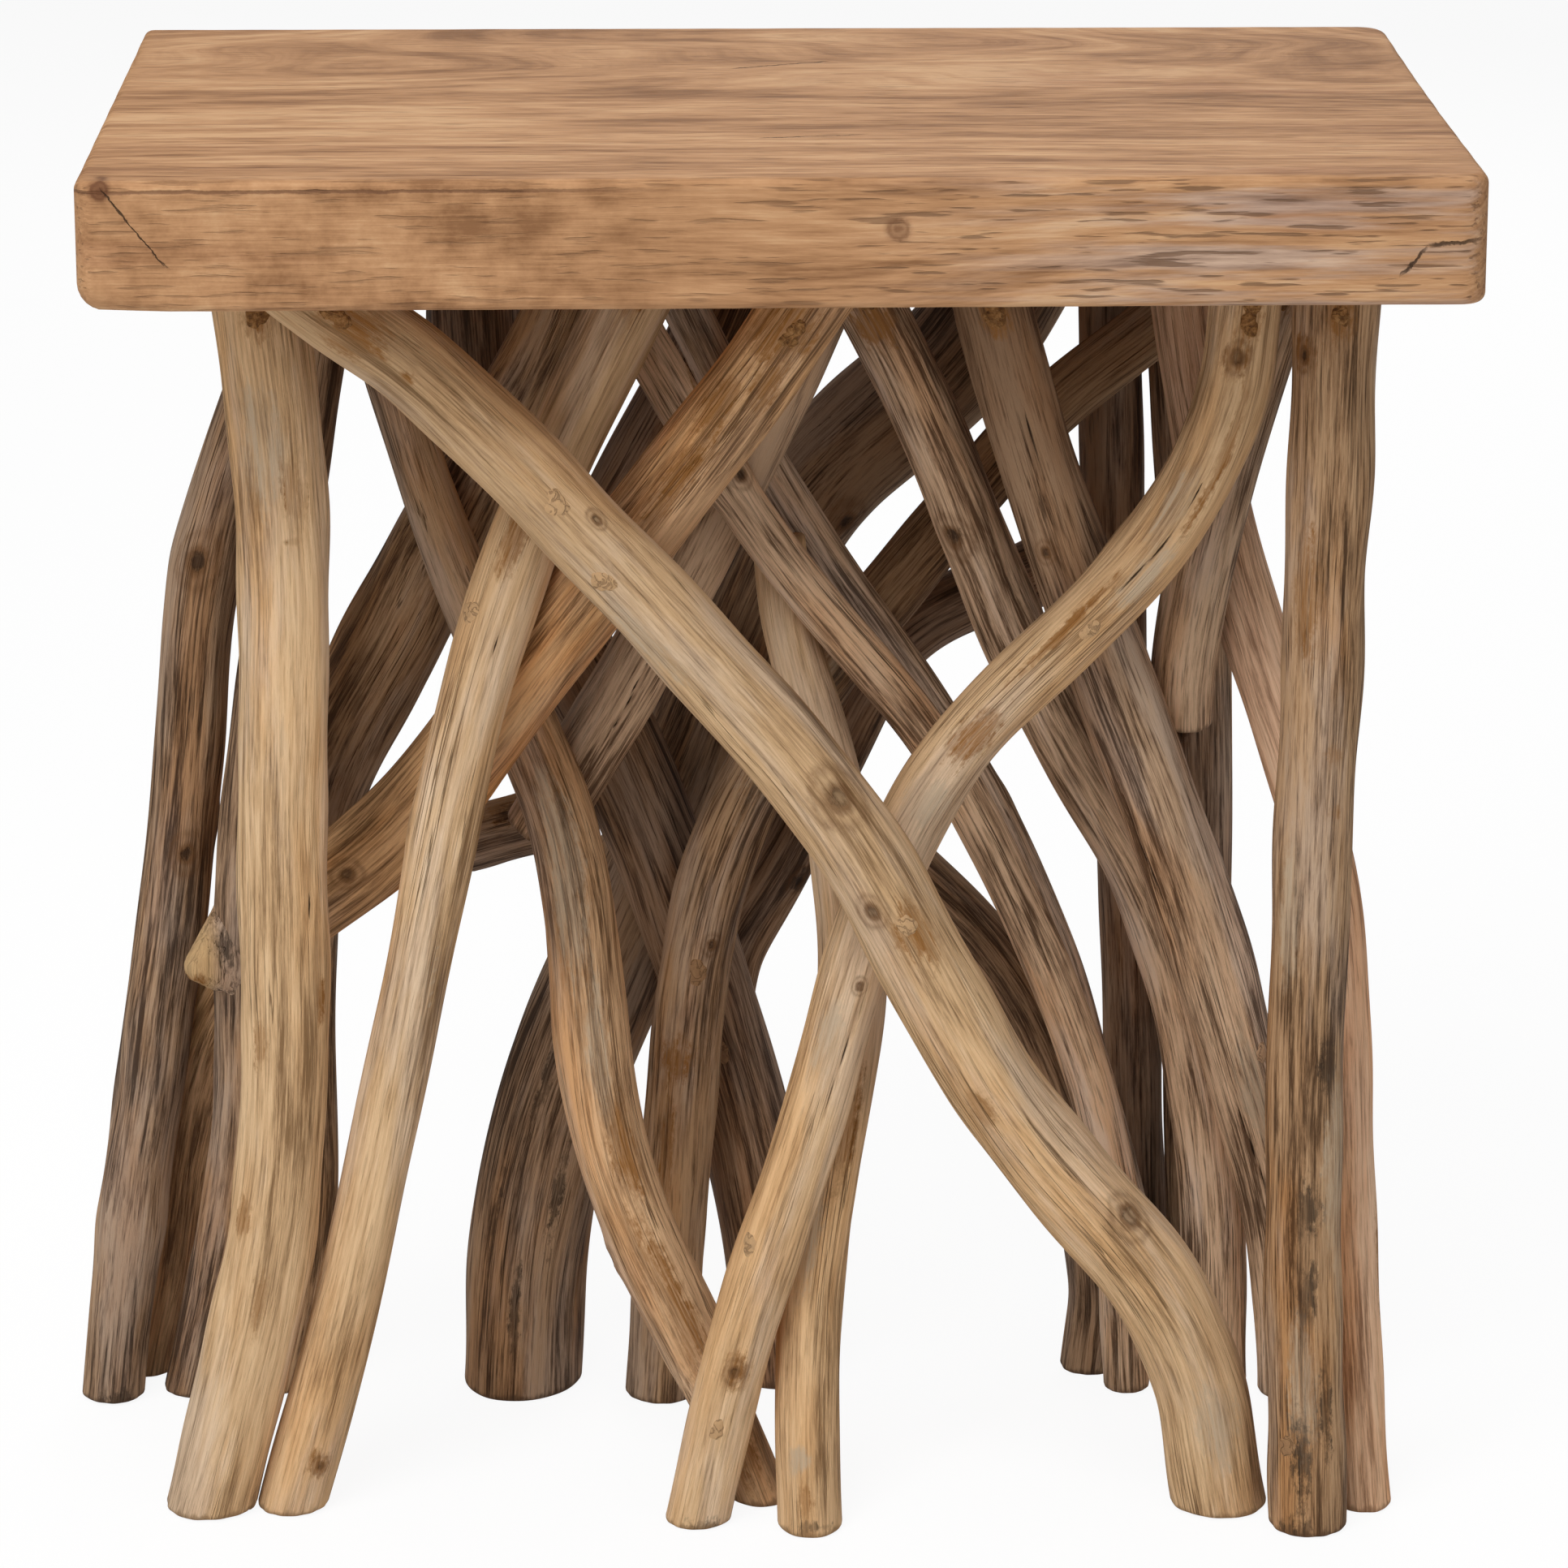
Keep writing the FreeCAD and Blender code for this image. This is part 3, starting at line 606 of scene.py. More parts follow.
branches = {
    "front_left_post": {
        "tone": "pale", "seed": 1, "paintedShade": 0.05,
        "splits": ((0.47, 0.56, 41, 0.5, 3), (0.0, 0.04, 62, 0.8, 4)),
        "stains": (
            (0.255, -42, 4, 2), (0.40, -32, 3.5, 3), (0.43, 56, 3, 3),
            (0.19, 0, 3, 5), (0.83, 22, 5, 2.5), (0.79, 16, 4, 0.4)),
        "bleaches": ((0.86, -12, 10, 2.5),)},
    "front_right_post": {
        "tone": "brown", "seed": 2, "paintedShade": 0.05,
        "knots": ((0.928, -50, 5.5, 0.5),),
        "stains": ((0.93, -52, 6, 1.3), (0.625, 20, 3.5, 1.2), (0.58, 24, 3, 1.2), (0.75, -30, 6, 4)),
        # dark spots and streaks that make the lower part darker
        "darkSpots": (
            (0.38, 30, 5, 3.2), (0.265, 4, 5.5, 2.6), (0.20, 2, 5, 3.2),
            (0.10, 24, 4, 5), (0.07, -14, 5, 5), (0.0, -22, 9, 0.9)),
        "bleaches": ((0.30, 50, 7, 5), (0.12, -10, 6, 5), (0.5, -40, 5, 6))},
    "long_front_diagonal": {
        "tone": "pale", "seed": 3, "paintedShade": 0.35,
        "knots": ((0.551, 24, 10, 0.8), (0.481, -20, 6, 1.0), (0.22, 36, 8, 1.2), (0.774, 32, 3.5, 0.4)),
        "stains": ((0.955, 0, 11, 1.2), (0.455, 18, 8, 1.8), (0.335, -22, 6, 1.6), (0.914, -8, 3, 1)),
        "bleaches": ((0.068, 12, 10, 1.8), (0.70, -35, 6, 4))},
    "s_curve_branch": {
        "tone": "pale", "seed": 4,
        "knots": ((0.118, -2, 4, 0.7), (0.409, 10, 3, 0.5), (0.936, -8, 5.5, 0.5)),
        "stains": (
            (0.936, -8, 6, 1.6), (0.607, -8, 7, 2), (0.118, -2, 6, 1.4),
            (0.86, 14, 2.4, 14), (0.70, -24, 2.4, 12)),
        "splits": ((0.72, 0.86, -2, 0.5, 4), (0.30, 0.42, 16, 0.4, 3)),
        "darkSpots": ((0.0, 12, 10, 0.5),),
        "bleaches": ((0.822, -20, 5, 4), (0.768, 8, 5, 4), (0.549, 0, 9, 1.1), (0.367, -18, 6, 3))},
    "slender_left_branch": {
        "tone": "pale", "seed": 5,
        "knots": ((0.044, 26, 3.5, 0.6),),
        "splits": ((0.665, 0.72, 8, 0.4, 3),),
        "stains": ((0.044, 26, 5, 1.2), (0.78, -20, 5, 4)),
        "bleaches": tuple((0.417 + 0.0088 * k, 36 - k, 1.4, 0.7) for k in range(9))},
    "bowed_inner_branch": {
        "tone": "tan", "seed": 6,
        "knots": ((0.21, -78, 5, 1.6),),
        "stains": ((0.281, 24, 6, 4), (0.16, 10, 6, 6), (0.06, 10, 8, 3)),
        "bleaches": ((0.461, -14, 7, 5), (0.517, 2, 7, 5), (0.36, 10, 5, 7))},
    "centre_upright": {
        "tone": "pale", "seed": 7,
        "stains": ((0.026, -10, 3.5, 1.8), (0.40, 20, 5, 5)),
        "darkSpots": ((0.0, 2, 9, 0.28),),
        "bleaches": ((0.066, -16, 5, 1.3), (0.3, -20, 5, 6))},
    "long_left_diagonal": {
        "tone": "amber", "seed": 8, "paintedShade": 0.05,
        "knots": ((0.467, -10, 6, 0.9),),
        "stains": ((0.97, -22, 14, 1.3), (0.90, -29, 7, 2), (0.848, -6, 5, 5), (0.93, 10, 6, 2))},
    "stubbed_left_leg": {
        "tone": "grey", "seed": 9,
        "darkSpots": ((0.437, -48, 3.6, 1.7), (0.432, -14, 3.6, 2.2), (0.0, -10, 9, 0.5)),
        "swells": ((0.425, 0.06, 20),)},
    "grey_cross_brace": {"tone": "ash", "seed": 10, "paintedShade": 0.5, "splits": ((0.2, 0.45, 10, 0.5, 4),)},
    "low_left_brace": {
        "tone": "grey", "seed": 26,
        "darkSpots": ((0.477, -48, 5, 1.2),),
        "stains": ((0.5, -70, 9, 1.5),)},
    "pale_slender_branch": {
        "tone": "ash", "seed": 11, "paintedShade": 0.1,
        "knots": ((0.808, 38, 5, 1.2),),
        "stains": ((0.878, 80, 5, 1.3),),
        "swells": ((0.808, 0.12, 7),)},
    "knotted_branch": {
        "tone": "ash", "seed": 12,
        "knots": ((0.764, -32, 8, 2.0),),
        "splits": ((0.68, 0.74, 37, 0.6, 3),),
        "stains": ((0.936, -8, 8, 1.4),),
        "darkSpots": ((0.764, -18, 3.5, 1.2),)},
    "wide_right_diagonal": {
        "tone": "ash", "seed": 13, "paintedShade": 1.0,
        "knots": ((0.774, -26, 4, 0.8),),
        "splits": ((0.46, 0.58, -50, 0.8, 5), (0.82, 0.9, 6, 0.5, 3), (0.2, 0.3, -20, 0.5, 4)),
        "bleaches": ((0.3, 10, 6, 5),)},
    "short_top_right_branch": {"tone": "ash", "seed": 14},
    "tan_right_leg": {"tone": "rose", "seed": 15},
    "dark_slender_branch": {
        "tone": "ash", "seed": 16,
        "darkSpots": ((0.413, -54, 2.6, 1.5), (0.365, -29, 2.6, 1.8))},
    "long_rear_diagonal": {
        "tone": "brown", "seed": 17,
        "knots": ((0.355, 16, 4, 0.8),),
        "stains": ((0.269, -14, 9, 1.2), (0.2, -20, 3.5, 6)),
        "bleaches": ((0.52, -5, 8, 5),)},
    "grey_left_slant": {"tone": "brown", "seed": 18, "paintedShade": 0.05},
    "low_grey_slant": {"tone": "grey", "seed": 27},
    "dark_left_slant": {"tone": "dark", "seed": 19},
    "upper_rear_brace": {"tone": "dark", "seed": 20},
    "back_right_leg": {"tone": "dark", "seed": 21},
    "back_right_upright": {
        "tone": "grey", "seed": 22,
        "knots": ((0.571, -34, 5, 1.6),),
        "darkSpots": ((0.571, -34, 5, 1.1),)},
    "back_left_leg": {
        "tone": "grey", "seed": 23,
        "knots": ((0.715, -14, 9, 1.2), (0.491, 14, 7, 0.8)),
        "darkSpots": ((0.008, 14, 9, 0.8),),
        "swells": ((0.715, 0.05, 12), (0.164, 0.08, 14))},
    "thick_rear_leg": {
        "tone": "grey", "seed": 24, "lump": 0.028, "paintedShade": 0.4,
        "knots": ((0.689, 36, 9, 2.0),),
        # dark streaks that make the lowest part darker
        "darkSpots": (
            (0.14, 16, 3, 9), (0.06, -8, 2.6, 9), (0.22, -24, 3, 9),
            (0.12, -40, 2.4, 10), (0.18, 48, 2.6, 9))},
    "low_rear_brace": {
        "tone": "dark", "seed": 25,
        "knots": ((0.261, 38, 5, 1.2),),
        "darkSpots": ((0.261, 38, 6, 1.1),)},
}


weathering = {
    "draws": 9, "seedStep": 100,
    "facing": (95, 265),                      # degrees from the front
    "along": (0.08, 0.92), "size": (3, 7),    # share along, mm
    "knotRise": 0.16, "stainLength": 0.4, "splitLength": 0.012, "splitWidth": 0.1,  # for each mm of size
}


def weathered(values):
    # a few seeded knots, splits and stains on the sides that face away from the front
    draws = np.random.default_rng(values["seed"] + weathering["seedStep"])
    away, along, size = (draws.uniform(*weathering[key], weathering["draws"])
                         for key in ("facing", "along", "size"))
    knots = slice(0, 2)
    stains = slice(2, 6)
    splits = slice(6, 8)
    grown = dict(values)
    rise = size[knots] * weathering["knotRise"]
    grown["knots"] = (*values["knots"], *zip(along[knots], away[knots], size[knots], rise))
    ratio = 1 + size[stains] * weathering["stainLength"]
    grown["stains"] = (*values["stains"], *zip(along[stains], away[stains], size[stains], ratio))
    ends = along[splits] + size[splits] * weathering["splitLength"]
    width = size[splits] * weathering["splitWidth"]
    grown["splits"] = (*values["splits"], *zip(along[splits], ends, away[splits], width, size[splits]))
    return grown


bridges = {"stubbed_left_leg": [share * underside for share in stubShape["bridge"]]}
lines = {node: readBranch(node, bridges.get(node)) for node in branches}
finish = {node: weathered({**plainBranch, **own}) for node, own in branches.items()}
print("branches read:", len(lines))

fillerShape = {
    "size": 0.0037, "stretch": 1.3, "rise": 0.0005, "sunk": 0.0016,
    "around": 30, "rows": 8, "pole": 0.08,
    "seed": 77, "vary": (0.8, 1.2), "rim": ((2, 0.16), (3, 0.11), (7, 0.06)),  # waves round the rim
    "reach": 0.008,                           # a packed plug's points lie within this
    "halo": 6.0, "haloRatio": 1.5,            # stain round a patch: size in mm, length ratio
    "bold": 0.42,                             # patches above this height are dark
    "toned": 0.72,                            # how far those below take their branch's tone
}


def fillerPlaces():
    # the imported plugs, one by one: the branch each sits in, and where along and around it
    middles = nodeMesh("screw_fillers").mean(1)
    left = np.ones(len(middles), dtype=bool)
    found = []
    while left.any():
        seed = middles[left][0]
        plug = left & (np.linalg.norm(middles - seed, axis=1) < fillerShape["reach"])
        plug = left & (np.linalg.norm(middles - middles[plug].mean(0), axis=1) < fillerShape["reach"])
        spot = middles[plug].mean(0)
        left = left & ~plug
        depth = {}
        for node, line in lines.items():
            away = np.linalg.norm(line["path"] - spot, axis=1)
            depth[node] = away.min() / line["radius"][away.argmin()]
        node = min(depth, key=depth.get)
        line = lines[node]
        near = np.linalg.norm(line["path"] - spot, axis=1).argmin()
        out = spot - line["path"][near]
        angle = math.atan2(out @ line["aside"][near], out @ line["forward"][near])
        found.append((node, line["table"][near], angle))
    return found


fillers = fillerPlaces()
print("fillers found:", len(fillers))
for node, run, angle in fillers:
    size = fillerShape["halo"], fillerShape["haloRatio"]
    halo = (run / lines[node]["length"], math.degrees(angle), *size)
    if look(lines[node], "path", np.array(run))[2] > fillerShape["bold"]:
        finish[node]["stains"] = (*finish[node]["stains"], halo)


tones = {
    "pale": {
        "light": (0.87, 0.60, 0.345), "mid": (0.69, 0.445, 0.238), "deep": (0.28, 0.160, 0.074),
        "warm": (1.0, 0.80, 0.56),
        "greying": 0.45, "warming": 0.4, "contrast": 0.92, "dashes": 0.2, "eye": 0.4},
    "tan": {
        "light": (0.77, 0.50, 0.285), "mid": (0.55, 0.335, 0.178), "deep": (0.18, 0.096, 0.045),
        "warm": (1.0, 0.78, 0.55),
        "greying": 0.5, "warming": 0.6, "contrast": 1.15, "dashes": 0.35, "eye": 0.7},
    "brown": {
        "light": (0.57, 0.36, 0.20), "mid": (0.40, 0.235, 0.122), "deep": (0.11, 0.058, 0.028),
        "warm": (1.0, 0.78, 0.52),
        "greying": 0.5, "warming": 0.7, "contrast": 1.35, "dashes": 0.45, "eye": 0.85},
    "amber": {
        "light": (0.76, 0.45, 0.22), "mid": (0.54, 0.298, 0.132), "deep": (0.18, 0.088, 0.036),
        "warm": (1.0, 0.76, 0.50),
        "greying": 0.2, "warming": 0.8, "contrast": 1.1, "dashes": 0.25, "eye": 0.5},
    "rose": {
        "light": (0.95, 0.62, 0.385), "mid": (0.80, 0.48, 0.285), "deep": (0.34, 0.175, 0.090),
        "warm": (1.0, 0.76, 0.54),
        "greying": 0.2, "warming": 0.6, "contrast": 1.05, "dashes": 0.3, "eye": 0.8},
    "ash": {
        "light": (0.86, 0.60, 0.39), "mid": (0.60, 0.395, 0.245), "deep": (0.16, 0.090, 0.050),
        "warm": (1.0, 0.78, 0.56),
        "greying": 0.55, "warming": 0.5, "contrast": 1.45, "dashes": 0.45, "eye": 0.85},
    "grey": {
        "light": (0.52, 0.335, 0.20), "mid": (0.335, 0.204, 0.118), "deep": (0.085, 0.047, 0.026),
        "warm": (1.0, 0.78, 0.54),
        "greying": 0.5, "warming": 0.6, "contrast": 1.4, "dashes": 0.45, "eye": 0.85},
    "dark": {
        "light": (0.45, 0.278, 0.165), "mid": (0.29, 0.168, 0.094), "deep": (0.075, 0.039, 0.021),
        "warm": (1.0, 0.76, 0.54),
        "greying": 0.4, "warming": 0.6, "contrast": 1.3, "dashes": 0.4, "eye": 0.85},
}

markTones = {
    "bleach": (0.56, 0.44, 0.31), "stain": (0.30, 0.128, 0.032), "knot": (0.17, 0.078, 0.030),
    "eye": (0.040, 0.020, 0.010), "soot": (0.030, 0.020, 0.014), "split": (0.026, 0.014, 0.008),
    # the last colour is laid over the branches as painted shade under the slab
    "torn": (0.66, 0.43, 0.21), "paintedShade": (0.34, 0.29, 0.25),
}


branchGrain = {                               # stretch along the branch, scale, detail, roughness, distortion
    "broad": (0.28, 34.0, 3.0, 0.5, 0.0),
    "streak": (0.055, 300.0, 7.0, 0.72, 0.4),
    "fibre": (0.03, 1150.0, 5.0, 0.7, 0.0),
    "warm": (0.16, 42.0, 4.0, 0.6, 0.0),
    "greying": (0.17, 32.0, 5.0, 0.62, 0.0),
    "crackPatch": (0.2, 40.0, 2.0, 0.5, 0.0),  # where drying cracks gather
    "crackLine": (0.014, 300.0, 3.0, 0.5, 0.0),
    "dashes": (0.07, 720.0, 2.0, 0.5, 0.0),
    "ragged": (0.3, 190.0, 6.0, 0.7, 0.0),    # these two break up the edges of marks
    "grit": (0.5, 480.0, 5.0, 0.72, 0.0),
}
grainShift = {"warm": (3.1, 0.0, 0.0), "crackPatch": (0.0, 5.3, 0.0)}
grainStep = (0.37, 0.13, 0.71)                # from one branch's grain to the next
grainMix = {"broad": 0.75, "streak": 1.1, "fibre": 0.85, "middle": 1.35, "level": 0.49}
toneStops = (("deep", 0.25), ("mid", 0.46), ("light", 0.64))
greyed = {"saturation": 0.58, "value": 1.04}

branchBands = {                               # where each mask starts and ends
    # upper: the heights over which the painted shade under the slab comes in
    "warm": (0.48, 0.66), "greying": (0.47, 0.62), "upper": (0.12, 0.47), "dashes": (0.60, 0.70),
    "crackPatch": (0.48, 0.62), "crackLine": (0.002, 0.011), "broken": (0.40, 0.60),
    "split": (0.35, 1.0), "rim": (0.0006, 0.0032),
}

markEdges = {                                 # how a mark's edge is broken up, and how strong the mark is
    "bleach": {"ragged": 1.6, "grit": 1.2, "middle": 1.4, "edge": (0.45, 1.1), "least": 0.2, "more": 0.6},
    "stain": {"ragged": 2.0, "grit": 2.0, "middle": 2.0, "edge": (0.40, 1.15), "least": 0.22, "more": 0.75},
    "soot": {"ragged": 2.2, "grit": 2.4, "middle": 2.3, "edge": (0.30, 0.95), "least": 0.35, "more": 0.5},
    "knot": {"ragged": 0.9, "grit": 0.8, "middle": 0.85, "edge": (0.45, 1.3), "least": 0.25, "more": 0.55},
    "eye": {"ragged": 0.5, "grit": 0.5, "middle": 0.5, "edge": (0.16, 0.36)},
}

branchFinish = {
    "specular": 0.12, "roughness": (0.62, 0.3), "depth": 0.0010,
    "crack": 0.9, "split": 0.92, "torn": (0.4, 0.9), "knotRings": (11.0, 8.0),
    "rim": 0.7, "rimBreak": (0.010, 0.005), "sawn": 0.9, "yearRings": (3600.0, 9.0), "endGrain": (0.4, 0.6),
}
branchRaise = {                               # how far each raises or sinks the skin
    "streak": 0.9, "fibre": 0.5, "broad": 0.3, "knot": 0.25,
    "crack": 0.7, "dashes": 0.2, "split": 0.8, "eye": 0.5,
}


def branchWood(name, tone, seed, paintedShade):
    # peeled branch: patches, long streaks, fine fibres and drying cracks that follow it,
    # under knots, stains and other marks
    wood = branchFinish
    bands = branchBands
    made, start, shader = startMaterial(name, wood["specular"])
    trunk = start.node("ShaderNodeAttribute", {"attribute_name": "trunk"}, out=1)
    place = trunk.moved(tuple(seed * step for step in grainStep))
    grain = {}
    for key, (stretch, *noise) in branchGrain.items():
        source = place.moved(grainShift[key]) if key in grainShift else place
        grain[key] = source.spread((1.0, 1.0, stretch)).noise(*noise)
    streak = grain["streak"]
    value = grain["broad"] * grainMix["broad"] + streak * grainMix["streak"]
    value = value + grain["fibre"] * grainMix["fibre"] - grainMix["middle"]
    value = value * tone["contrast"] + grainMix["level"]
    stops = tuple((stop, tone[key]) for key, stop in toneStops)
    colour = start.node("ShaderNodeValToRGB", {"stops": stops}, {0: value})
    warm = grain["warm"].rise(*bands["warm"])
    colour = (warm * tone["warming"]).over(colour, tone["warm"], "MULTIPLY")
    colour = start.node("ShaderNodeHueSaturation", None, {
        "Saturation": greyed["saturation"], "Value": greyed["value"],
        "Fac": grain["greying"].rise(*bands["greying"]) * tone["greying"], "Color": colour})
    # painted shade: the part of each branch nearest the slab is darkened in its colour
    upper = start.node("ShaderNodeTexCoord", out=3).parts()[2].rise(*bands["upper"])
    colour = (upper * paintedShade).over(colour, markTones["paintedShade"], "MULTIPLY")  # painted shade, darker towards the slab
    crackLine = abs(grain["crackLine"] - 0.5).fall(*bands["crackLine"])
    crackLine = crackLine * grain["crackPatch"].rise(*bands["crackPatch"])
    colour = (crackLine * wood["crack"]).over(colour, tone["deep"])
    dashes = grain["dashes"].rise(*bands["dashes"])
    colour = (dashes * tone["dashes"]).over(colour, tone["deep"])
    broken = streak.rise(*bands["broken"])    # long streaks that break up the marks
    marks = {}
    for key in ("knot", "split", "stain", "soot", "bleach", "sawn", "torn", "tip"):
        marks[key] = start.node("ShaderNodeAttribute", {"attribute_name": key}, out=2)

    def mask(mark, key):                      # distance to the mark, broken up by noise, faded at its edge
        edge = markEdges[key]
        away = marks[mark] + grain["ragged"] * edge["ragged"] + grain["grit"] * edge["grit"]
        return (away - edge["middle"]).fall(*edge["edge"])

    def strength(key, pattern):               # a part all over, and more where the pattern is high
        return markEdges[key]["least"] + pattern * markEdges[key]["more"]

    colour = (mask("bleach", "bleach") * strength("bleach", broken)).over(colour, markTones["bleach"])
    colour = (marks["torn"] * (wood["torn"][0] + streak * wood["torn"][1])).over(colour, markTones["torn"])
    colour = (mask("stain", "stain") * strength("stain", broken)).over(colour, markTones["stain"])
    ringLines = marks["knot"] * wood["knotRings"][0] + grain["ragged"] * wood["knotRings"][1]
    ringLines = ringLines.sine() * 0.5 + 0.5
    knot = mask("knot", "knot")
    colour = (knot * strength("knot", ringLines)).over(colour, markTones["knot"])
    eye = mask("knot", "eye")
    colour = (eye * tone["eye"]).over(colour, markTones["eye"])
    colour = (mask("soot", "soot") * strength("soot", broken)).over(colour, markTones["soot"])
    split = marks["split"].fall(*bands["split"])
    colour = (split * wood["split"]).over(colour, markTones["split"])
    rim = marks["tip"] + grain["ragged"] * wood["rimBreak"][0] - wood["rimBreak"][1]
    colour = (rim.fall(*bands["rim"]) * wood["rim"]).over(colour, tone["deep"])
    ends = trunk.parts()
    across = (ends[0] * ends[0] + ends[1] * ends[1]) ** 0.5
    rings = across * wood["yearRings"][0] + grain["broad"] * wood["yearRings"][1]
    rings = rings.sine() * 0.5 + 0.5
    endGrain = rings * wood["endGrain"][0] + grain["ragged"] * wood["endGrain"][1]
    colour = (marks["sawn"] * wood["sawn"]).over(colour, endGrain.over(tone["deep"], tone["mid"]))
    roughness = wood["roughness"][0] + grain["fibre"] * wood["roughness"][1]
    rise = branchRaise
    height = streak * rise["streak"] + grain["fibre"] * rise["fibre"] + grain["broad"] * rise["broad"]
    height = height - crackLine * rise["crack"] - dashes * rise["dashes"]
    height = height - split * rise["split"] - eye * rise["eye"] + ringLines * knot * rise["knot"]
    finishMaterial(start, shader, colour, roughness, height, wood["depth"])
    return made


for node, values in finish.items():
    tubes = [branchTube(lines[node], values)]
    if node == "stubbed_left_leg":
        tubes.append(stubTube(lines[node]))
    wood = branchWood(node + "_finish", tones[values["tone"]], values["seed"], values["paintedShade"])
    stand(gridMesh(node + "_wood", tubes), node, wood)
print("branches built")


def fillerTubes():
    # each patch: a ragged disc laid on the skin of its branch, domed on top and sunk below
    shape = fillerShape
    draws = np.random.default_rng(shape["seed"])
    theta = np.arange(shape["around"]) * 2 * np.pi / shape["around"]
    out = np.linspace(shape["pole"], 1, shape["rows"])
    back = np.linspace(1, shape["pole"], shape["rows"])[1:]
    out = np.concatenate([out, back])[:, None]
    top = np.arange(len(out))[:, None] < shape["rows"]
    dome = shape["rise"] * (1 - 2 * out ** 4)
    lift = np.where(top, dome, shape["rise"] * -1 - shape["sunk"] * (1 - out ** 2))
    tubes = []
    for node, run, angle in fillers:
        line = lines[node]
        size = shape["size"] * draws.uniform(*shape["vary"])
        rim = 1
        for waves, amount in shape["rim"]:
            rim = rim + amount * np.cos(waves * theta + draws.uniform(0, fullTurn))
        beside = run + size * shape["stretch"] * rim * out * np.cos(theta)
        around = angle + size * rim * out * np.sin(theta) / look(line, "radius", np.array(run))
        rings = branchSkin(line, beside, around, finish[node], lift * np.ones(theta.shape))
        flat = rings.shape[:2]
        low = look(line, "path", np.array(run))[2] < shape["bold"]
        tubes.append({"rings": rings, "foot": rings[0].mean(0), "head": rings[-1].mean(0), "marks": {
            "host": np.ones((*flat, 3)) * tones[finish[node]["tone"]]["mid"],
            "toned": np.full(flat, low * shape["toned"])}})
    return tubes


fillerFinish = {
    "specular": 0.15, "roughness": (0.65, 0.2), "depth": 0.0006,
    "grain": (520.0, 4.0, 0.65), "crazing": (240.0, 3.0, 0.5, 0.6), "crazingEdge": (0.006, 0.03),
    "stops": ((0.34, (0.11, 0.045, 0.014)), (0.50, (0.24, 0.11, 0.034)), (0.66, (0.38, 0.20, 0.075))),
    "crazed": (0.10, 0.046, 0.020), "crazingShare": 0.35, "crazingDepth": 0.6,
}


def fillerPaste():
    # dried filler: brown and orange grains with dark crazing
    paste = fillerFinish
    made, start, shader = startMaterial("filler_finish", paste["specular"])
    place = start.node("ShaderNodeTexCoord", out=3)
    grain = place.noise(*paste["grain"])
    crazing = abs(place.noise(*paste["crazing"]) - 0.5).fall(*paste["crazingEdge"])
    colour = start.node("ShaderNodeValToRGB", {"stops": paste["stops"]}, {0: grain})
    host = start.node("ShaderNodeAttribute", {"attribute_name": "host"}, out=0)
    colour = start.node("ShaderNodeAttribute", {"attribute_name": "toned"}, out=2).over(colour, host)
    colour = (crazing * paste["crazingShare"]).over(colour, paste["crazed"])
    roughness = paste["roughness"][0] + grain * paste["roughness"][1]
    height = grain - crazing * paste["crazingDepth"]
    finishMaterial(start, shader, colour, roughness, height, paste["depth"])
    return made


patches = gridMesh("screw_filler_patches", fillerTubes())
stand(patches, "screw_fillers", fillerPaste())
print("fillers laid")

slabShape = {
    "corners": (0.007, 0.009, 0.013, 0.004),  # front left, front right, back right, back left
    "edge": 0.0035, "lowLeftEdge": 0.009, "lowLeftReach": 0.03,
    "hollow": 0.001, "endSlant": 0.005,       # how the right end curves in and draws in to the back
    "endOnly": 12,                            # how closely that keeps to the end
    "slant": 0.005,                           # how far the front edge runs back to the right
    "seed": 31, "wobble": 0.06, "wobbleSize": (0.2, 0.5), "wobbleWaves": (7, 11, 17, 26, 37, 53),
    "longSteps": 190, "cornerSteps": 10, "shortSteps": 110,
    "topRows": 50, "edgeRows": 6, "sideRows": 16, "bottomRows": 18,
}


def slabOutline(low, high):
    # plan outline: a rounded rectangle whose right end draws in to the back and whose front edge runs back
    half = (high - low) / 2
    counts = [slabShape[key] for key in ("longSteps", "cornerSteps", "shortSteps", "cornerSteps")] * 2
    piece = np.repeat(np.arange(8), counts)
    share = np.concatenate([np.arange(count) / count for count in counts])
    turnAngle = np.radians(np.array([-90, -90, 0, 0, 90, 90, 180, 180])[piece]
                           + np.array([0, 90, 0, 90, 0, 90, 0, 90])[piece] * share)
    facing = np.stack([np.cos(turnAngle), np.sin(turnAngle)], -1)
    radii = np.array(slabShape["corners"])
    sign = np.array([[-1, -1], [1, -1], [1, 1], [-1, 1]])
    centres = sign * (half - radii[:, None])
    first = np.array([0, 1, 1, 2, 2, 3, 3, 0])[piece]  # corner where each stretch starts, and where it ends
    last = np.array([1, 1, 2, 2, 3, 3, 0, 0])[piece]
    core = centres[first] + (centres[last] - centres[first]) * share[:, None]
    spots = core + (radii[first] + (radii[last] - radii[first]) * share)[:, None] * facing
    across = spots[:, 1] / half[1]
    bow = slabShape["hollow"] * (1 - across ** 2) + slabShape["endSlant"] * (0.5 + across / 2)
    bow = bow * np.clip(spots[:, 0] / half[0], 0, 1) ** slabShape["endOnly"]
    back = slabShape["slant"] * (0.5 + spots[:, 0] / half[0] / 2) * (0.5 - across / 2)
    along = sign[first, 0] + (sign[last, 0] - sign[first, 0]) * share
    ridge = np.stack([(half[0] - half[1]) * along, np.zeros(len(core))], -1)  # the same from front and back
    middle = (high + low) / 2
    return spots + np.stack([-bow, back], -1) + middle, facing, ridge + middle


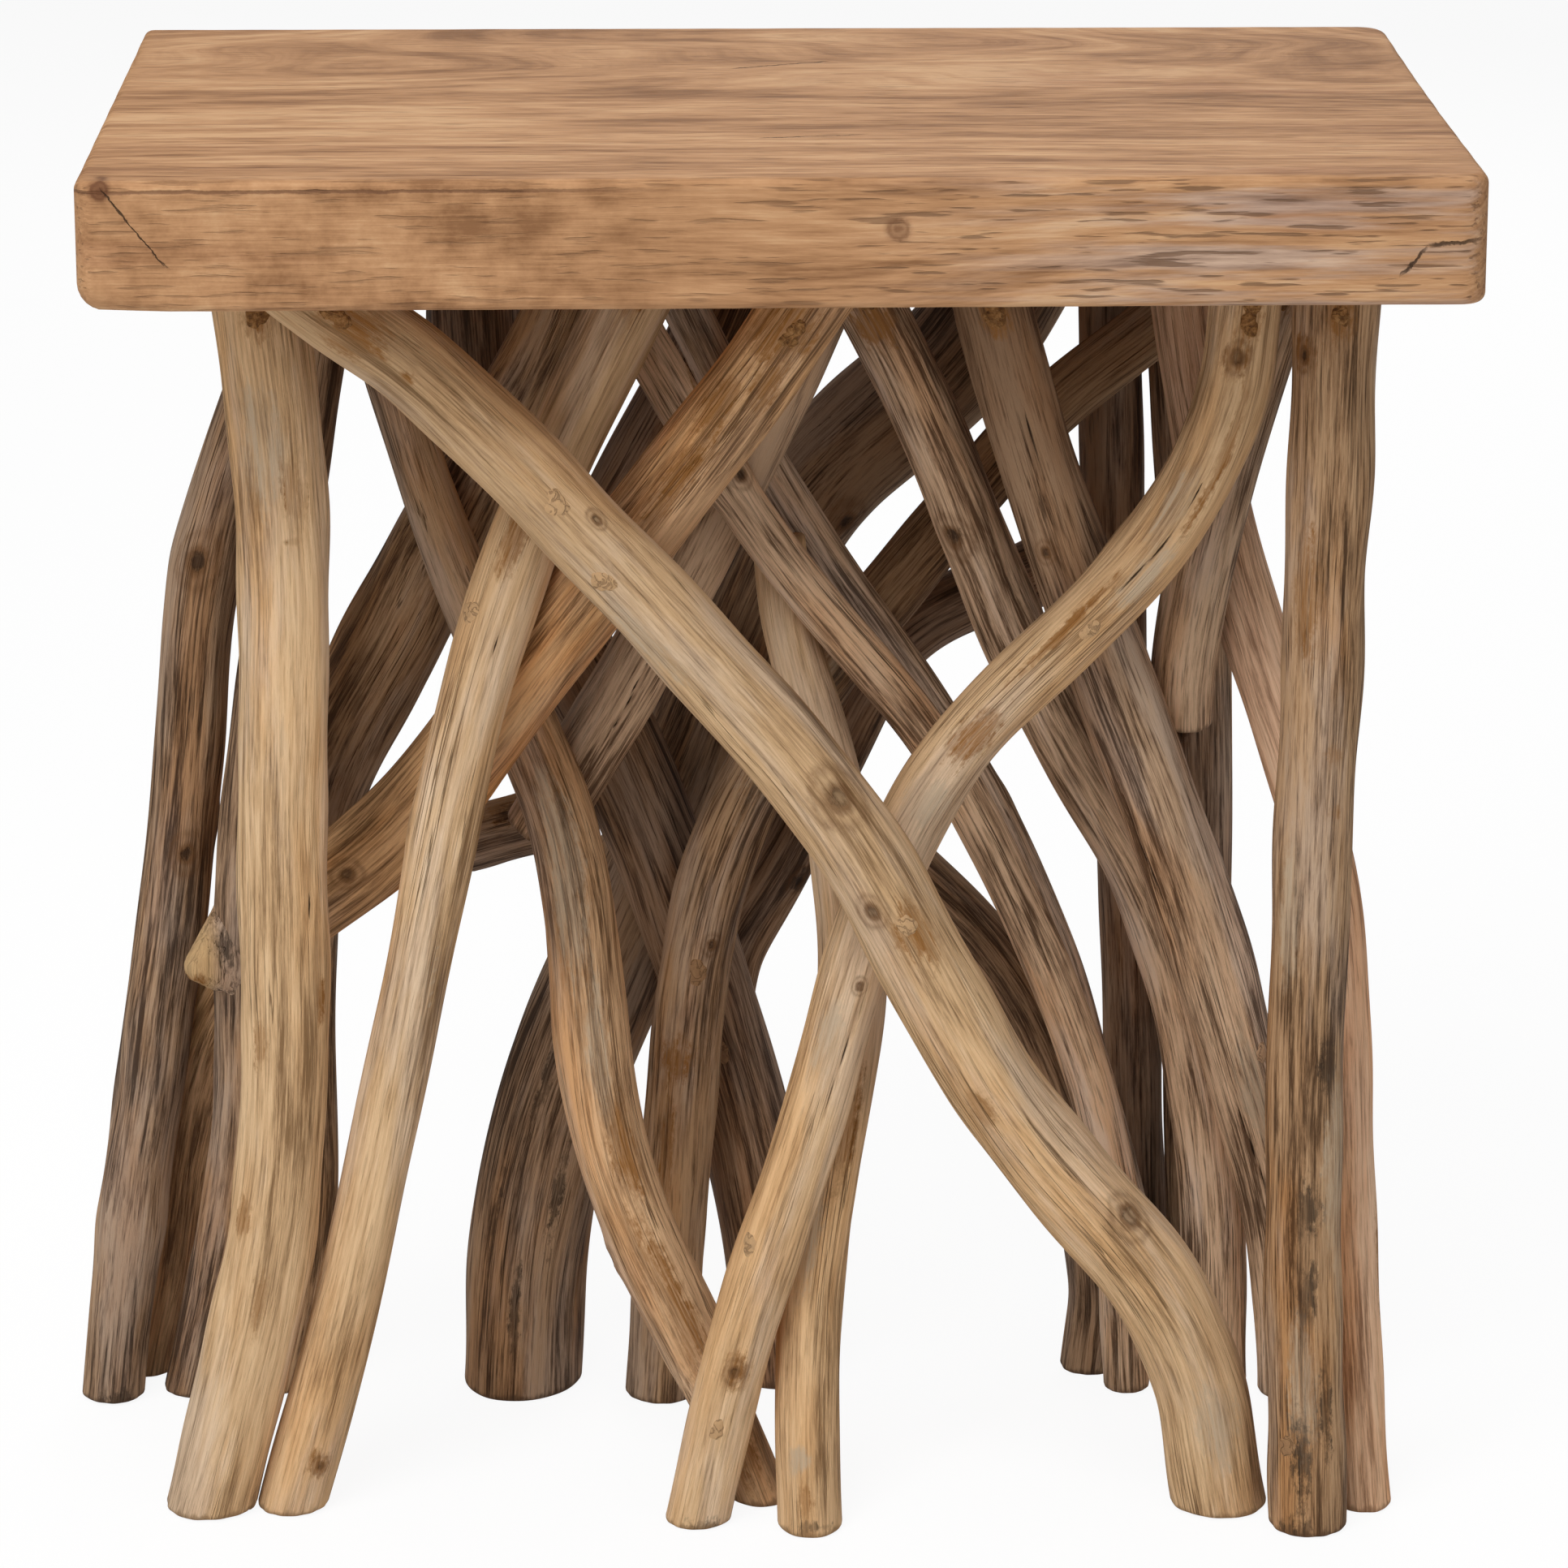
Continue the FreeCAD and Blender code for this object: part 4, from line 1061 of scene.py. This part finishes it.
def makeSlab():
    # profile carried round the outline: top from its middle line out, round edge, side, round edge,
    # bottom back in
    low, high = (np.array(corner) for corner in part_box("slab_top"))
    spots, facing, ridge = slabOutline(low[:2], high[:2])
    draws = np.random.default_rng(slabShape["seed"])
    run = np.linspace(0, 2 * np.pi, len(spots), endpoint=False)
    wobble = sum(np.cos(k * run + draws.uniform(0, fullTurn)) * draws.uniform(*slabShape["wobbleSize"])
                 for k in slabShape["wobbleWaves"])
    edgeTop = slabShape["edge"] * (1 + slabShape["wobble"] * wobble)
    lowLeft = np.clip((low[0] + slabShape["lowLeftReach"] - spots[:, 0]) / slabShape["lowLeftReach"], 0, 1)
    edgeLow = slabShape["edge"] * (1 - slabShape["wobble"] * wobble)
    edgeLow = edgeLow + (slabShape["lowLeftEdge"] - slabShape["edge"]) * lowLeft
    bend = np.linspace(0, np.pi / 2, slabShape["edgeRows"] + 1)
    rows = []
    for share in np.linspace(0, 1, slabShape["topRows"]):
        flat = ridge + (spots - facing * edgeTop[:, None] - ridge) * share
        rows.append(np.column_stack([flat, np.full(len(spots), high[2])]))
    for angle in bend[1:]:
        flat = spots - facing * (edgeTop * (1 - math.sin(angle)))[:, None]
        rows.append(np.column_stack([flat, high[2] - edgeTop * (1 - math.cos(angle))]))
    for share in np.linspace(0, 1, slabShape["sideRows"])[1:]:
        top = high[2] - edgeTop
        foot = low[2] + edgeLow
        rows.append(np.column_stack([spots, top + (foot - top) * share]))
    for angle in bend[1:]:
        flat = spots - facing * (edgeLow * (1 - math.cos(angle)))[:, None]
        rows.append(np.column_stack([flat, low[2] + edgeLow * (1 - math.sin(angle))]))
    for share in np.linspace(1, 0, slabShape["bottomRows"])[1:]:
        flat = ridge + (spots - facing * edgeLow[:, None] - ridge) * share
        rows.append(np.column_stack([flat, np.full(len(spots), low[2])]))
    piece = gridMesh("slab_wood_top", [{"rings": np.array(rows)[::-1]}])
    weld(piece)
    return piece


slabMarks = {
    "cracks": (                               # face, start and end in metres, width in mm
        ("front", (-0.2083, 0.498), (-0.1869, 0.471), 0.3),
        ("front", (0.217, 0.4664), (0.2256, 0.4768), 0.6),
        ("front", (0.2256, 0.4768), (0.2446, 0.4786), 0.9),
        ("top", (-0.001, 0.060), (0.034, 0.075), 0.6),
        ("top", (0.007, -0.073), (0.043, -0.066), 0.5)),
    "knots": (                                # on the front: place, size in mm, strength
        ((0.0516, 0.4832), 5.0, 0.62),
        ((-0.2085, 0.4972), 4.2, 0.95)),
    "seam": 0.4974,                           # height of the dark line along the left of the front
    "mottle": (-0.10, 0.04),                  # the blotched left part of the front ends between these
    "ringHeart": (0.10, 0.26),                # depth and height of the heart of the trunk
}


slabGrain = {                                 # stretch, then scale, detail, roughness
    "drift": ((2.6, 6.0, 6.0), 1.0, 2.0, 0.5),
    "fine": ((0.028, 1.0, 1.0), 900.0, 4.0, 0.65),
    "cloud": ((0.5, 1.0, 1.0), 24.0, 4.0, 0.6),
    "blotch": ((0.8, 1.0, 1.0), 58.0, 5.0, 0.65),
    "weather": ((0.06, 1.0, 1.0), 150.0, 4.0, 0.6),
    "pores": ((0.075, 1.0, 1.0), 620.0, 2.0, 0.5),
    "ragged": ((1.0, 1.0, 1.0), 160.0, 4.0, 0.65),
}
layerGrain = {                                # growth layers: scale, detail, roughness, distortion
    "wide": (75.0, 4.0, 0.6, 0.2),
    "narrow": (330.0, 5.0, 0.65, 0.0),
    "plum": (52.0, 4.0, 0.6, 0.3),
}

slabBands = {                                 # where each mask starts and ends
    "front": (-0.1425, -0.1385), "knotDepth": (-0.139, -0.132), "top": (0.4975, 0.4990),
    "plum": (0.55, 0.70), "weatherAlong": (0.02, 0.16), "weather": (0.42, 0.62),
    "pores": (0.58, 0.68), "poresAlong": (-0.05, 0.10),
    "seam": (0.0002, 0.0008), "seamAlong": (-0.10, 0.02), "knot": (0.45, 1.1),
}

slabFinish = {
    "specular": 0.12, "roughness": (0.56, 0.25), "depth": 0.0006,
    "sway": (0.14, 0.10), "layerRun": 0.05, "plumShift": (2.7, 0.0, 0.0),
    "stops": (
        (0.30, (0.27, 0.130, 0.058)), (0.44, (0.42, 0.218, 0.103)),
        (0.56, (0.53, 0.288, 0.142)), (0.70, (0.64, 0.385, 0.205))),
    "plum": (0.70, 0.60, 0.62), "pores": (0.15, 0.078, 0.042), "seam": (0.12, 0.05, 0.028),
    "knot": (0.16, 0.066, 0.030), "crack": (0.045, 0.024, 0.014),
    "plumShare": 0.6, "poreShare": (0.28, 0.42), "seamShare": 0.65, "crackShare": 0.9,
    "weatherSaturation": 0.62, "weatherValue": 1.08, "weatherShare": 0.8,
    "seamBreak": 0.0016, "crackBreak": 0.004, "knotBreak": 0.9, "knotRings": (13.0, 0.12),
    "crackStart": (-0.001, 0.003), "crackStop": (-0.004, 0.001), "crackCore": 0.0003,
}
slabMix = {                                   # weights of the grains, and what is taken off their sum
    "wide": 0.85, "narrow": 0.9, "cloud": 0.3, "stripes": 0.525,
    "blotch": 0.9, "blotchCloud": 0.4, "blotches": 0.15, "fine": 0.45, "fineMiddle": 0.225,
}
slabRaise = {"narrow": 0.45, "fine": 0.4, "pores": 0.5, "crack": 1.5, "seam": 0.5}


def crackMask(x, up, ragged, first, last, width):
    # a line between two places on a face, broken by the ragged grain and thinned to its ends
    length = math.hypot(last[0] - first[0], last[1] - first[1])
    way = ((last[0] - first[0]) / length, (last[1] - first[1]) / length)
    along = (x - first[0]) * way[0] + (up - first[1]) * way[1]
    broken = slabFinish["crackBreak"]
    beside = (x - first[0]) * way[1] - (up - first[1]) * way[0] + ragged * broken - broken / 2
    stop = [length + place for place in slabFinish["crackStop"]]
    ends = along.rise(*slabFinish["crackStart"]) * along.fall(*stop)
    return abs(beside).fall(width * slabFinish["crackCore"], width * mm) * ends


def slabWood():
    # sawn teak: growth layers round a heart below the slab, streaks and short pores along it,
    # cracks and knots
    wood = slabFinish
    bands = slabBands
    made, start, shader = startMaterial("slab_finish", wood["specular"])
    place = start.node("ShaderNodeTexCoord", out=3)
    x, y, z = place.parts()
    grain = {key: place.spread(stretch).noise(*noise) for key, (stretch, *noise) in slabGrain.items()}
    fine = grain["fine"]
    cloud = grain["cloud"]
    ragged = grain["ragged"]
    heart = slabMarks["ringHeart"]
    sway = wood["sway"]
    inward = y + grain["drift"] * sway[0] - heart[0] - sway[0] / 2
    upward = z + grain["drift"] * sway[1] - heart[1] - sway[1] / 2
    deep = (inward ** 2.0 + upward ** 2.0) ** 0.5
    layer = start.node("ShaderNodeCombineXYZ", None, {0: deep, 1: x * wood["layerRun"], 2: 0.0})
    wide = layer.noise(*layerGrain["wide"])
    narrow = layer.noise(*layerGrain["narrow"])
    onFront = y.fall(*bands["front"])
    mottle = onFront * x.fall(*slabMarks["mottle"])
    mix = slabMix
    stripes = wide * mix["wide"] + narrow * mix["narrow"] + cloud * mix["cloud"] - mix["stripes"]
    blotches = grain["blotch"] * mix["blotch"] + cloud * mix["blotchCloud"] - mix["blotches"]
    value = stripes + mottle * (blotches - stripes) + fine * mix["fine"] - mix["fineMiddle"]
    colour = start.node("ShaderNodeValToRGB", {"stops": wood["stops"]}, {0: value})
    plum = layer.moved(wood["plumShift"]).noise(*layerGrain["plum"]).rise(*bands["plum"])
    colour = (plum * wood["plumShare"]).over(colour, wood["plum"], "MULTIPLY")
    weather = onFront * x.rise(*bands["weatherAlong"]) * grain["weather"].rise(*bands["weather"])
    colour = start.node("ShaderNodeHueSaturation", None, {
        "Saturation": wood["weatherSaturation"], "Value": wood["weatherValue"],
        "Fac": weather * wood["weatherShare"], "Color": colour})
    pores = grain["pores"].rise(*bands["pores"])
    poring = wood["poreShare"][0] + onFront * x.rise(*bands["poresAlong"]) * wood["poreShare"][1]
    colour = (pores * poring).over(colour, wood["pores"])
    seam = abs(z + ragged * wood["seamBreak"] - slabMarks["seam"]).fall(*bands["seam"])
    seam = onFront * seam * x.fall(*bands["seamAlong"])
    colour = (seam * wood["seamShare"]).over(colour, wood["seam"])
    crack = 0.0
    for face, first, last, width in slabMarks["cracks"]:
        up = z if face == "front" else y
        over = onFront if face == "front" else z.rise(*bands["top"])
        crack = (crackMask(x, up, ragged, first, last, width) * over).most(crack)
    for spot, size, strength in slabMarks["knots"]:
        away = ((x - spot[0]) ** 2.0 + (z - spot[1]) ** 2.0) ** 0.5 * (1000 / size)
        away = away + ragged * wood["knotBreak"] - wood["knotBreak"] / 2
        rings = (away * wood["knotRings"][0]).sine() * wood["knotRings"][1] + strength
        knot = away.fall(*bands["knot"]) * y.fall(*bands["knotDepth"])
        colour = (knot * rings).over(colour, wood["knot"])
    colour = (crack * wood["crackShare"]).over(colour, wood["crack"])
    roughness = wood["roughness"][0] + fine * wood["roughness"][1]
    rise = slabRaise
    height = narrow * rise["narrow"] + fine * rise["fine"]
    height = height - pores * rise["pores"] - crack * rise["crack"] - seam * rise["seam"]
    finishMaterial(start, shader, colour, roughness, height, wood["depth"])
    return made


stand(makeSlab(), "slab_top", slabWood())
print("slab built")


steelFinish = {
    "specular": 0.5, "roughness": (0.35, 0.2), "depth": 0.0001, "grain": (900.0, 3.0, 0.6),
    "dull": (0.42, 0.42, 0.43), "bright": (0.60, 0.60, 0.61),
}


def screwSteel():
    # plain steel with a fine grain
    made, start, shader = startMaterial("screw_steel_finish", steelFinish["specular"])
    shader.inputs["Metallic"].default_value = 1.0
    place = start.node("ShaderNodeTexCoord", out=3)
    grain = place.noise(*steelFinish["grain"])
    colour = grain.over(steelFinish["dull"], steelFinish["bright"])
    roughness = steelFinish["roughness"][0] + grain * steelFinish["roughness"][1]
    finishMaterial(start, shader, colour, roughness, grain, steelFinish["depth"])
    return made


steel = screwSteel()
for node in ("top_screws", "crossing_screws"):
    frame["nodes"][node].data.materials.clear()
    frame["nodes"][node].data.materials.append(steel)
print("screws finished")


studio = {
    "floorReach": 9.0, "floorInner": 0.3, "floorSides": 64, "floorDrop": 0.0004,
    "floorTone": 0.85, "floorWhite": 1.04, "floorShow": 0.88,  # how far the white hides the shadow
    "camera": (-0.017376, -2.184, 0.900492), "pitch": 16.547, "yaw": 0.888, "lens": 145.79, "sensor": 36.0,
    "sky": 0.20,
    "lamps": {
        "key": {"place": (-0.6, -1.4, 2.1), "aim": (0.0, 0.0, 0.35), "size": 1.3, "power": 31.0},
        "over": {"place": (0.0, 0.2, 2.4), "aim": (0.0, 0.0, 0.4), "size": 1.2, "power": 12.0},
        "frontLeft": {"place": (-1.9, -2.2, 1.1), "aim": (0.0, 0.0, 0.2), "size": 1.3, "power": 12.0},
        "frontRight": {"place": (1.9, -2.2, 1.0), "aim": (0.0, 0.0, 0.2), "size": 1.3, "power": 9.0},
        "behind": {"place": (0.4, 2.4, 1.4), "aim": (0.0, 0.0, 0.3), "size": 1.4, "power": 12.0},
    },
}


def whiteFloor():
    # white to the camera and in reflections, with some of the paint's shadow left in it
    made = bpy.data.materials.new("white_floor")
    made.use_nodes = True
    tree = made.node_tree
    tree.nodes.remove(tree.nodes["Principled BSDF"])
    start = Wire(tree)
    seen = start.node("ShaderNodeLightPath", out=0)
    glossy = start.node("ShaderNodeLightPath", out=3)
    through = start.node("ShaderNodeLightPath", out=6)
    grey = studio["floorTone"]
    paint = start.node("ShaderNodeBsdfDiffuse", None, {"Color": (grey, grey, grey, 1.0)})
    plain = start.node("ShaderNodeEmission", None, {
        "Color": (1.0, 1.0, 1.0, 1.0), "Strength": studio["floorWhite"]})
    mixed = start.node("ShaderNodeMixShader", None, {
        0: seen.most(glossy).most(through) * studio["floorShow"], 1: paint, 2: plain})
    start.plug(tree.nodes["Material Output"].inputs["Surface"], mixed)
    return made


def makeStudio():
    # a round floor just under the feet, a pale world, five soft lamps and the camera
    reach = studio["floorReach"]
    sides = studio["floorSides"]
    level = -studio["floorDrop"]
    inner = studio["floorInner"]
    angle = np.arange(sides) * 2 * np.pi / sides
    disc = np.stack([np.cos(angle) * reach, np.sin(angle) * reach, np.full(sides, level)], -1)
    rings = np.stack([disc, disc * [inner, inner, 1.0]])
    floor = gridMesh("floor", [{"rings": rings, "head": (0.0, 0.0, level)}])
    floor.data.materials.append(whiteFloor())
    world = bpy.data.worlds.new("studio")
    bpy.context.scene.world = world
    world.use_nodes = True
    start = Wire(world.node_tree)
    seen = start.node("ShaderNodeLightPath", out=0)
    backing = world.node_tree.nodes["Background"]
    backing.inputs["Color"].default_value = (1.0, 1.0, 1.0, 1.0)
    start.plug(backing.inputs["Strength"], seen * (1 - studio["sky"]) + studio["sky"])
    for name, lamp in studio["lamps"].items():
        light = bpy.data.lights.new(name, "AREA")
        light.size = lamp["size"]
        light.energy = lamp["power"]
        holder = bpy.data.objects.new(name, light)
        holder.location = lamp["place"]
        aim = np.array(lamp["aim"]) - np.array(lamp["place"])
        tilt = math.acos(-aim[2] / np.linalg.norm(aim))
        holder.rotation_euler = (tilt, 0.0, math.atan2(aim[0], -aim[1]) + math.pi)
        bpy.context.scene.collection.objects.link(holder)
    camera = bpy.data.cameras.new("photo_view")
    camera.sensor_width = studio["sensor"]
    camera.lens = studio["lens"]
    holder = bpy.data.objects.new("photo_view", camera)
    holder.location = studio["camera"]
    holder.rotation_euler = (math.radians(90 - studio["pitch"]), 0.0, math.radians(-studio["yaw"]))
    bpy.context.scene.collection.objects.link(holder)
    bpy.context.scene.camera = holder
    bpy.context.scene.view_settings.view_transform = "Standard"


makeStudio()
print("studio ready")
